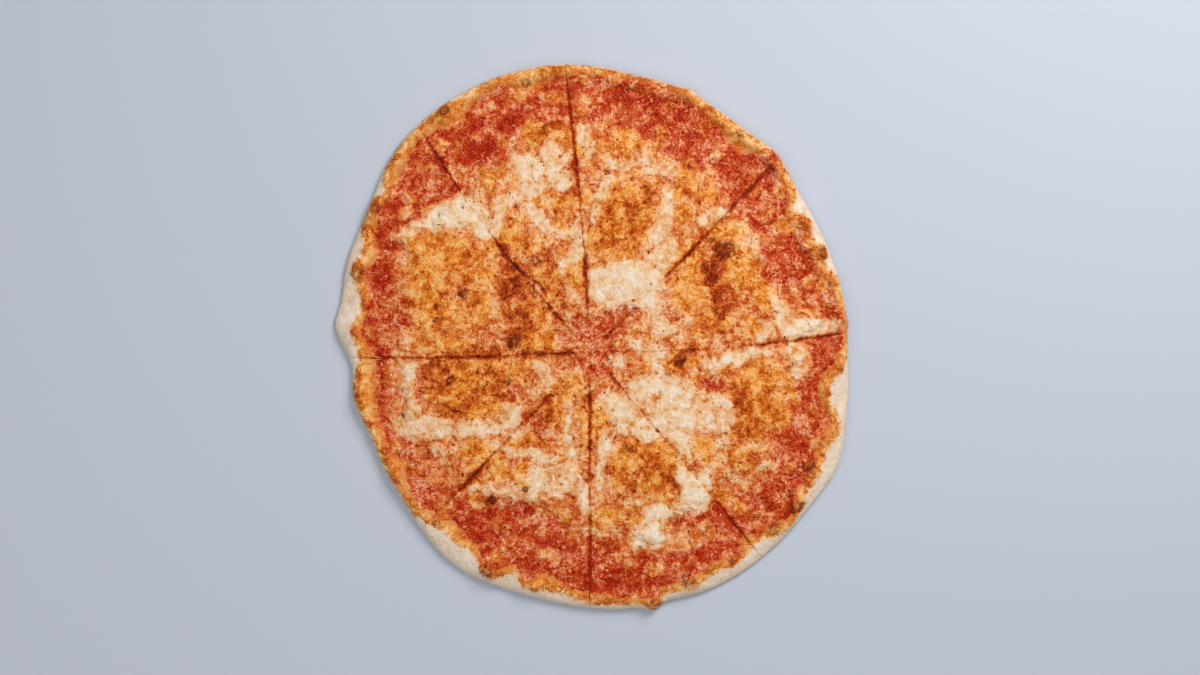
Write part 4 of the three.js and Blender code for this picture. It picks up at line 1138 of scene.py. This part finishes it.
def crust_material(name):
    """Baked wheat dough: a matt golden skin, dusted with flour, open crumb where it is cut, toasted underneath."""
    _, colours = settings()
    material, tree = new_material(name)
    place = add(tree, "ShaderNodeTexCoord").outputs["Object"]
    tone, under, char, stain, oily = (
        add(tree, "ShaderNodeAttribute", attribute_name=key).outputs["Fac"]
        for key in ("tone", "underside", "char", "stain", "oily")
    )
    bake = add(tree, "ShaderNodeAttribute", attribute_name="bake").outputs["Color"]
    shares = add(tree, "ShaderNodeSeparateColor", {0: bake}).outputs
    # Flour grains and fine cracks, 0.7 mm across, and scorched patches of the underside, 13 mm across.
    grain, scorch = (
        add(
            tree, "ShaderNodeTexNoise",
            {"Vector": place, "Scale": 1 / (size * MM), "Detail": detail, "Roughness": roughness},
        ).outputs[0]
        for size, detail, roughness in ((0.7, 3.0, 0.65), (13, 5.0, 0.62))
    )
    grainy = add(tree, "ShaderNodeMath", {0: grain, 1: 1.8, 2: -0.9}, operation="MULTIPLY_ADD").outputs[0]
    scorched = add(tree, "ShaderNodeMath", {0: scorch, 1: 2.2, 2: -0.5}, operation="MULTIPLY_ADD").outputs[0]
    either = add(tree, "ShaderNodeMix", {0: under, 2: tone, 3: scorched}, data_type="FLOAT").outputs[0]
    shade = add(tree, "ShaderNodeMath", {0: either, 1: grainy}).outputs[0]
    finishes = {"golden": shares[0], "floured": shares[1], "crumb": shares[2], "underside": under}
    base = blended(tree, CRUST_SHADES, shade, finishes)
    # Oil from the cheese has run against the inner slope of the rim; its tint there is also deepened, painted light
    # that makes up for the shade on the slope.
    tint = add(tree, "ShaderNodeMath", {0: oily, 1: 0.6}, operation="MULTIPLY").outputs[0]
    base = add(
        tree, "ShaderNodeMix", {0: tint, 6: base, 7: colours.oil}, data_type="RGBA", blend_type="MULTIPLY",
    ).outputs[2]
    soaked = add(tree, "ShaderNodeMath", {0: stain, 1: 0.62}, operation="MULTIPLY").outputs[0]
    stained = add(tree, "ShaderNodeMix", {0: soaked, 6: base, 7: colours.stain}, data_type="RGBA").outputs[2]
    burnt = add(tree, "ShaderNodeMath", {0: char, 1: 0.8}, operation="MULTIPLY").outputs[0]
    charred = add(tree, "ShaderNodeMix", {0: burnt, 6: stained, 7: colours.char}, data_type="RGBA").outputs[2]
    matt = add(tree, "ShaderNodeMath", {0: grain, 1: 0.2, 2: 0.52}, operation="MULTIPLY_ADD").outputs[0]
    end_material(tree, charred, matt, grain, 0.16 * MM, IOR=1.45, Specular_IOR_Level=0.2)
    return material


def bits_material(name, dark, light, roughness, **constants):
    """Small bits that each have their own shade, mottled finely."""
    _, colours = settings()
    material, tree = new_material(name)
    place = add(tree, "ShaderNodeTexCoord").outputs["Object"]
    tone = add(tree, "ShaderNodeAttribute", attribute_name="tone").outputs["Fac"]
    grain = add(tree, "ShaderNodeTexNoise", {"Vector": place, "Scale": 1 / (0.6 * MM), "Detail": 2.0}).outputs[0]
    grainy = add(tree, "ShaderNodeMath", {0: grain, 1: 0.5, 2: -0.25}, operation="MULTIPLY_ADD").outputs[0]
    shade = add(tree, "ShaderNodeMath", {0: tone, 1: grainy}).outputs[0]
    stops = [(0, getattr(colours, dark)), (1, getattr(colours, light))]
    ramp = add(tree, "ShaderNodeValToRGB", {0: shade}, stops=stops)
    rough = add(tree, "ShaderNodeMath", {0: grain, 1: 0.15, 2: roughness}, operation="MULTIPLY_ADD").outputs[0]
    end_material(tree, ramp.outputs[0], rough, grain, 0.06 * MM, **constants)
    return material


# --- pieces ---


def keep_in_box(piece):
    """Flattens the highest and outermost points of a piece to the box of the solids."""
    place = np.empty(3 * len(piece.data.vertices))
    piece.data.vertices.foreach_get("co", place)
    inside = np.clip(place.reshape(-1, 3), *CAD_BOX)
    piece.data.vertices.foreach_set("co", inside.ravel())
    piece.data.update()


def finish_layer(piece, layer, material, number):
    """Gives a slice's layer its fine relief and puts it in the place of its solid."""
    sizes, _ = settings()
    tree = bpy.data.node_groups.get("Baked relief") or relief_tree()
    run_tree(piece, tree, height=sizes.pimple_height, size=sizes.pimple_size, seed=0.5 * number, material=material)
    keep_in_box(piece)
    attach(piece, BODY)
    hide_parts(f"slice_{number}_{layer}")


def rows_between(inner, outer, count):
    share = (np.arange(1, count + 1) / count)[:, None]
    return inner[None, :] + (outer - inner)[None, :] * share


def rows_from_tip(outline, spacing):
    """Rows from the cut centre out to an outline: round at first, and more and more of its shape."""
    mean = outline.mean()
    share = (np.arange(1, round(mean / spacing) + 1) / round(mean / spacing))[:, None]
    return share * mean + (outline - mean)[None, :] * share**2.5


def crust_seat(x, y):
    """The underside of the pizza is flat."""
    return np.zeros(len(x))


def sauce_seat(x, y):
    return dough_height(x, y) - SUNK


def sauce_surface(x, y):
    """Top of the sauce without its relief: it thins out over the crust and dips under it at its ragged edge."""
    return dough_height(x, y) - 0.15 + (SAUCE_THICKNESS + 0.25) * step(sauce_cover(x, y), -0.8, 4.5)


def cheese_seat(x, y):
    """Underside of the cheese, whose hidden margin reaches deeper into the sauce."""
    return sauce_surface(x, y) - SUNK - 0.45 * (1 - step(cheese_cover(x, y), 0, 4))


def topping_values(look, part, shows):
    """The attributes that the topping materials read, and where relief and scattered bits go."""
    weights = look["weights"]
    top = part == 0
    melt = np.stack([*weights[:3], np.ones(len(top))], 1)
    juicy = np.clip(1.4 * weights[3] + 0.6 * weights[4] - 0.25, 0, 1)
    return {
        "melt": melt, "tomato": weights[3], "thin": weights[4], "tone": look["tone"], "char": look["char"],
        "rough": np.where(top, 1.0, 0.15) * (part < 0.9), "shows": shows * top,
        "juicy": shows * top * juicy * step(look["off_cut"], 1, 2.5),
    }


class MARGHERITA_OT_crust(bpy.types.Operator):
    """Build the baked crust of each slice"""

    bl_idname = "margherita.crust"
    bl_label = "Baked crust"

    def execute(self, context):
        sizes, _ = settings()
        fine, hidden = sizes.spacing / MM, sizes.hidden_spacing / MM
        material = crust_material("Baked wheat dough")
        edge = from_cut_centre(edge_radius)
        curve = CREST_CURVE * np.arange(0, CREST_ROWS) ** 2
        visible = np.arange(curve[-1] + fine, VISIBLE_RIM, fine)
        covered_rows = np.arange(VISIBLE_RIM + 0.3, COVERED_RIM, COVERED_SPACING)
        insets = np.concatenate([curve, visible, covered_rows])[::-1]
        inner = rows_from_tip(edge - COVERED_RIM - 0.5, ROW_STEP)
        radii = np.concatenate([inner, edge[None, :] - insets[:, None]])
        on_rim = np.where(insets < VISIBLE_RIM, fine, COVERED_SPACING)
        spacing = np.concatenate([np.full(len(inner), hidden), on_rim])
        base_step, base_inset = 3.2, 0.6
        base_radii = rows_from_tip(edge - UNDERCUT - 0.9, base_step)

        def lean(level, x, y):
            """The cut closes towards the underside, with crumb holes in its sides; the edge is undercut."""
            inwards, _, _ = rim_profile(x, y)
            _, width, _ = beside_cuts(x, y)
            distance, tag = cells(x + 3.1 * level, y + 5.3 * level, HOLE_SPACING, 811)
            holes = 0.4 * (1 - step(distance, 0.1, 0.5)) * (tag > 0.5) * step(level, 0.05, 0.3) * (level < 0.9)
            closing = (width / 2 - 0.07) * step(level, 0.05, 0.75) - holes
            return closing, UNDERCUT * (1 - math.sqrt(1 - level**2)) * (1 - step(inwards, 0, 5))

        for number in SLICES:
            top = fan(number, radii, spacing)
            x, y = top["x"], top["y"]
            look, covered, (off_cut, *_) = crust_look(x, y), sauce_cover(x, y), beside_cuts(x, y)
            bare = 1 - step(covered, 0, 3)
            height = dough_height(x, y) + look["relief"] * bare * step(look["rise"], 0.1, 0.7)
            height = height - (SUNK + ROOM) * step(covered, 3, 7) - 0.5 * (1 - step(off_cut, 0, 1.2)) ** 2 * bare
            height = np.minimum(height, CAD_BOX[1][2] / MM)
            base = fan(number, base_radii, np.full(len(base_radii), base_step), base_inset)
            levels = [0.08, 0.2, 0.34, 0.48, 0.62, 0.76, 0.89, 1.0]
            points, triangles, part = closed_layer(top, height, base, crust_seat, levels, lean)
            px, py = points[:, 0], points[:, 1]
            angle, r = polar(px, py)
            cut_side = (part > 0) & (edge_radius(angle) - r > 2.2)
            below = (part > 0) * (np.where(cut_side, dough_height(px, py), EDGE_HEIGHT) - points[:, 2])
            look = crust_look(px, py, below)
            under = (part > 0.97).astype(float)
            crumb = cut_side * (1 - under)
            floured = look["floured"] * (1 - crumb) * (1 - under)
            skin = (1 - look["floured"]) * (1 - crumb) * (1 - under)
            run_in = 1.5 * step(sauce_cover(px, py), -3, 3) * np.clip(1.5 - 1.3 * part, 0, 1)
            soaked = np.where(cut_side, run_in, look["stain"])
            values = {
                "bake": np.stack([skin, floured, crumb, np.ones(len(px))], 1), "underside": under,
                "tone": look["tone"], "char": look["char"] * (part == 0), "stain": soaked * (1 - under),
                "oily": look["oily"] * (part == 0),
                "rough": np.where(part == 0, 0.8, np.where(cut_side, 1.0, 0.3)) * (part < 0.85),
                "shows": (part == 0) * (sauce_cover(px, py) < 0.5) * 1.0,
            }
            piece = make_object(f"crust_of_slice_{number}", points, triangles, values, material)
            finish_layer(piece, "crust", material, number)
        return {"FINISHED"}


class MARGHERITA_OT_sauce(bpy.types.Operator):
    """Spread the tomato sauce of each slice"""

    bl_idname = "margherita.sauce"
    bl_label = "Tomato sauce"

    def execute(self, context):
        sizes, _ = settings()
        fine, hidden = sizes.spacing / MM, sizes.hidden_spacing / MM
        # Cooked tomato: pulp in oil, smooth and wet.
        material = topping_material("Cooked tomato sauce", 0.22, IOR=1.4, Specular_IOR_Level=0.12)
        border, outline = from_cut_centre(cheese_radius) - 9, from_cut_centre(sauce_radius) + 2.2
        inner = rows_from_tip(border, ROW_STEP)
        ring = rows_between(border, outline, round(33 / fine))
        radii = np.concatenate([inner, ring])
        spacing = np.concatenate([np.full(len(inner), hidden), np.full(len(ring), fine)])
        base_radii = np.concatenate([rows_from_tip(border, 3.0), rows_between(border, outline - 0.6, 24)])
        for number in SLICES:
            top = fan(number, radii, spacing, 0.12)
            x, y = top["x"], top["y"]
            look, covered = toppings(x, y), cheese_cover(x, y)
            thick = step(sauce_cover(x, y), -0.8, 3)
            height = sauce_surface(x, y) + look["relief"] * thick * (1 - step(covered, 3, 7))
            height = height - (SUNK + ROOM) * step(covered, 4, 8) - look["dip"]
            height = np.maximum(height, sauce_seat(x, y) + 0.12)
            base = fan(number, base_radii, np.full(len(base_radii), 2.5), 0.5)
            points, triangles, part = closed_layer(top, height, base, sauce_seat, [0.5, 1.0])
            shows = (cheese_cover(points[:, 0], points[:, 1]) < 0) & (sauce_cover(points[:, 0], points[:, 1]) > 1.5)
            values = topping_values(toppings(points[:, 0], points[:, 1]), part, shows)
            piece = make_object(f"sauce_of_slice_{number}", points, triangles, values, material)
            finish_layer(piece, "sauce", material, number)
        return {"FINISHED"}


class MARGHERITA_OT_cheese(bpy.types.Operator):
    """Melt the cheese of each slice"""

    bl_idname = "margherita.cheese"
    bl_label = "Melted cheese"

    def execute(self, context):
        sizes, _ = settings()
        fine = sizes.spacing / MM
        # Melted mozzarella: a fatty, satin skin with oil on it.
        material = topping_material("Melted mozzarella", 0.28, IOR=1.42, Specular_IOR_Level=0.12)
        outline = from_cut_centre(cheese_radius) + 6
        radii = rows_from_tip(outline, fine)
        base_radii = rows_from_tip(outline - 0.6, 1.6)
        for number in SLICES:
            top = fan(number, radii, np.full(len(radii), fine))
            x, y = top["x"], top["y"]
            look, covered = toppings(x, y), cheese_cover(x, y)
            melted = step(covered, -2, 9)
            _, _, _, tomato, thin = look["weights"]
            thick = (CHEESE_THICKNESS + 0.1 + mounds(POOLS, x, y)) * (1 - 0.5 * tomato - 0.15 * thin)
            height = sauce_surface(x, y) + (thick + 0.3) * melted - 0.3 + look["relief"] - look["dip"]
            height = np.maximum(height, cheese_seat(x, y) + 0.05)
            base = fan(number, base_radii, np.full(len(base_radii), 1.8), 0.35)
            points, triangles, part = closed_layer(top, height, base, cheese_seat, [0.35, 0.7, 1.0])
            shows = cheese_cover(points[:, 0], points[:, 1]) > 0.3
            values = topping_values(toppings(points[:, 0], points[:, 1]), part, shows)
            piece = make_object(f"cheese_of_slice_{number}", points, triangles, values, material)
            finish_layer(piece, "cheese", material, number)
        return {"FINISHED"}


def surface_of(name, layers, key):
    """An object with the surfaces of the layers of all slices, and one of their attributes, for bits to lie on."""
    points, triangles, values, count = [], [], [], 0
    for layer in layers:
        for number in SLICES:
            data = bpy.data.objects[f"{layer}_of_slice_{number}"].data
            place, corner = np.empty(3 * len(data.vertices), np.float32), np.empty(len(data.loops), np.int32)
            value = np.empty(len(data.vertices), np.float32)
            data.vertices.foreach_get("co", place)
            data.loops.foreach_get("vertex_index", corner)
            data.attributes[key].data.foreach_get("value", value)
            points.append(place.reshape(-1, 3) / MM)
            triangles.append(corner.reshape(-1, 3) + count)
            values.append(value)
            count += len(value)
    return make_object(name, np.concatenate(points), np.concatenate(triangles), {key: np.concatenate(values)}, None)


def scattered(name, layers, where, tree, **inputs):
    """A piece made of bits that lie on the layers where their attribute says."""
    piece = surface_of(name, layers, where)
    run_tree(piece, tree, where=where, **inputs)
    return piece


class MARGHERITA_OT_curds(bpy.types.Operator):
    """Dot the sauce with small melted curds"""

    bl_idname = "margherita.curds"
    bl_label = "Small curds"

    def execute(self, context):
        sizes, _ = settings()
        # Drops of melted mozzarella: fatty and satin, and orange red where tomato has soaked in.
        material = bits_material(
            "Melted mozzarella curds", "curd_dark", "curd_light", 0.38, IOR=1.42, Specular_IOR_Level=0.2,
        )
        piece = scattered(
            "small_curds", ["sauce", "cheese"], "juicy", scatter_tree("Curds", 2, (1.0, 0.62, 0.3), 0.5),
            density=sizes.curds, smallest=0.22 * sizes.curd_size, largest=sizes.curd_size,
            sunk=-0.05 * MM, seed=sizes.seed, material=material,
        )
        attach(piece, BODY)
        return {"FINISHED"}


class MARGHERITA_OT_shreds(bpy.types.Operator):
    """Lay torn shreds of cheese on the sauce"""

    bl_idname = "margherita.shreds"
    bl_label = "Torn shreds"

    def execute(self, context):
        sizes, _ = settings()
        # Torn mozzarella that kept its strands: slightly drier than the curds.
        material = bits_material(
            "Torn mozzarella shreds", "curd_dark", "curd_light", 0.4, IOR=1.42, Specular_IOR_Level=0.2,
        )
        piece = scattered(
            "torn_shreds", ["sauce", "cheese"], "juicy", shreds_tree(),
            density=sizes.shreds, length=sizes.shred_length, width=sizes.shred_width,
            seed=sizes.seed + 1, material=material,
        )
        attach(piece, BODY)
        return {"FINISHED"}


class MARGHERITA_OT_herbs(bpy.types.Operator):
    """Sprinkle herb flecks on the toppings"""

    bl_idname = "margherita.herbs"
    bl_label = "Herb flecks"

    def execute(self, context):
        sizes, _ = settings()
        # Dried oregano: dull, rubbed leaf crumbs.
        material = bits_material("Dried oregano", "herb_dark", "herb_light", 0.7, IOR=1.4, Specular_IOR_Level=0.1)
        piece = scattered(
            "herb_flecks", ["sauce", "cheese"], "shows", scatter_tree("Herb flecks", 1, (1.0, 0.6, 0.24), 0.7),
            density=sizes.herbs, smallest=0.3 * sizes.herb_size, largest=sizes.herb_size,
            sunk=0.03 * MM, seed=sizes.seed + 2, material=material,
        )
        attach(piece, BODY)
        return {"FINISHED"}


class MARGHERITA_OT_crumbs(bpy.types.Operator):
    """Scatter toasted crumbs on the crust"""

    bl_idname = "margherita.crumbs"
    bl_label = "Toasted crumbs"

    def execute(self, context):
        sizes, _ = settings()
        # Burnt flour and dough from the oven floor: dry and dark.
        material = bits_material(
            "Toasted crumbs", "crumb_dark", "crumb_light", 0.6, IOR=1.45, Specular_IOR_Level=0.1,
        )
        piece = scattered(
            "toasted_crumbs", ["crust"], "shows", scatter_tree("Crumbs", 1, (1.0, 0.8, 0.6), 0.4),
            density=sizes.crumbs, smallest=0.25 * sizes.crumb_size, largest=sizes.crumb_size,
            sunk=0.0, seed=sizes.seed + 3, material=material,
        )
        keep_in_box(piece)
        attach(piece, BODY)
        return {"FINISHED"}


# --- stage ---

CAMERA_HEIGHT = 1.1
VIEW_WIDTH = 0.7008  # metres of floor across the picture
VIEW_CENTRE = (0.0029, -0.0006)
SENSOR = 36.0
FLOOR_HALF = 2.0
FLOOR_HEIGHT = -0.3  # millimetres, so that the underside doesn't touch the floor
SKY_COLOUR, SKY_STRENGTH = "#F4F6FA", 0.24
LAMPS = [
    # place, width, watts
    ((0.55, 0.70, 0.85), 0.60, 12.8),
    ((-0.85, -0.20, 1.00), 0.90, 4.2),
    ((0.10, -0.90, 1.00), 0.90, 2.9),
]


class MARGHERITA_OT_stage(bpy.types.Operator):
    """Set up the floor, the lights and the camera"""

    bl_idname = "margherita.stage"
    bl_label = "Floor, lights and camera"

    def execute(self, context):
        _, colours = settings()
        scene = context.scene
        # Matt emulsion on board: dull, with a faint unevenness 3 mm across.
        material, tree = new_material("Matt painted board")
        place = add(tree, "ShaderNodeTexCoord").outputs["Object"]
        uneven = add(tree, "ShaderNodeTexNoise", {"Vector": place, "Scale": 1 / (3 * MM), "Detail": 3.0}).outputs[0]
        rough = add(tree, "ShaderNodeMath", {0: uneven, 1: 0.2, 2: 0.6}, operation="MULTIPLY_ADD").outputs[0]
        end_material(tree, colours.board, rough, uneven, 0.03 * MM)
        corners = np.array([(-1, -1), (1, -1), (1, 1), (-1, 1)]) * FLOOR_HALF / MM
        points = np.column_stack([corners, np.full(4, FLOOR_HEIGHT)])
        floor = make_object("floor", points, np.array([(0, 1, 2), (0, 2, 3)]), {}, material)
        for i, (at, width, watts) in enumerate(LAMPS):
            lamp = bpy.data.lights.new(f"lamp_{i + 1}", "AREA")
            lamp.size, lamp.energy = width, watts
            made = bpy.data.objects.new(lamp.name, lamp)
            made.location = at
            made.rotation_euler = Vector(at).to_track_quat("Z", "Y").to_euler()
            scene.collection.objects.link(made)
        scene.world = bpy.data.worlds.new("Soft daylight")
        scene.world.use_nodes = True
        background = scene.world.node_tree.nodes["Background"]
        background.inputs["Color"].default_value = linear(SKY_COLOUR)
        background.inputs["Strength"].default_value = SKY_STRENGTH
        scene.view_settings.view_transform = "Standard"
        scene.view_settings.look = "None"
        lens = bpy.data.cameras.new("camera")
        lens.sensor_width, lens.lens = SENSOR, SENSOR * CAMERA_HEIGHT / VIEW_WIDTH
        camera = bpy.data.objects.new("camera", lens)
        camera.location = (*VIEW_CENTRE, CAMERA_HEIGHT)
        scene.collection.objects.link(camera)
        scene.camera = camera
        return {"FINISHED"}


OPERATORS = [
    MARGHERITA_OT_stage, MARGHERITA_OT_crust, MARGHERITA_OT_sauce, MARGHERITA_OT_cheese, MARGHERITA_OT_curds,
    MARGHERITA_OT_shreds, MARGHERITA_OT_herbs, MARGHERITA_OT_crumbs,
]


class MARGHERITA_PT_panel(bpy.types.Panel):
    """Lists what the pizza is made of"""

    bl_label = "Margherita pizza"
    bl_idname = "MARGHERITA_PT_panel"
    bl_space_type = "VIEW_3D"
    bl_region_type = "UI"
    bl_category = "Pizza"

    def draw(self, context):
        for operator in OPERATORS:
            self.layout.operator(operator.bl_idname)
        for group in (context.scene.margherita_sizes, context.scene.margherita_colours):
            box = self.layout.box()
            for key in type(group).__annotations__:
                box.prop(group, key)


CLASSES = [MARGHERITA_PG_sizes, MARGHERITA_PG_colours, *OPERATORS, MARGHERITA_PT_panel]


def register():
    for made in CLASSES:
        bpy.utils.register_class(made)
    bpy.types.Scene.margherita_sizes = PointerProperty(type=MARGHERITA_PG_sizes)
    bpy.types.Scene.margherita_colours = PointerProperty(type=MARGHERITA_PG_colours)


def unregister():
    del bpy.types.Scene.margherita_colours, bpy.types.Scene.margherita_sizes
    for made in reversed(CLASSES):
        bpy.utils.unregister_class(made)


def main():
    register()
    for operator in OPERATORS:
        getattr(bpy.ops.margherita, operator.bl_idname.split(".")[1])()


if __name__ == "__main__":
    main()
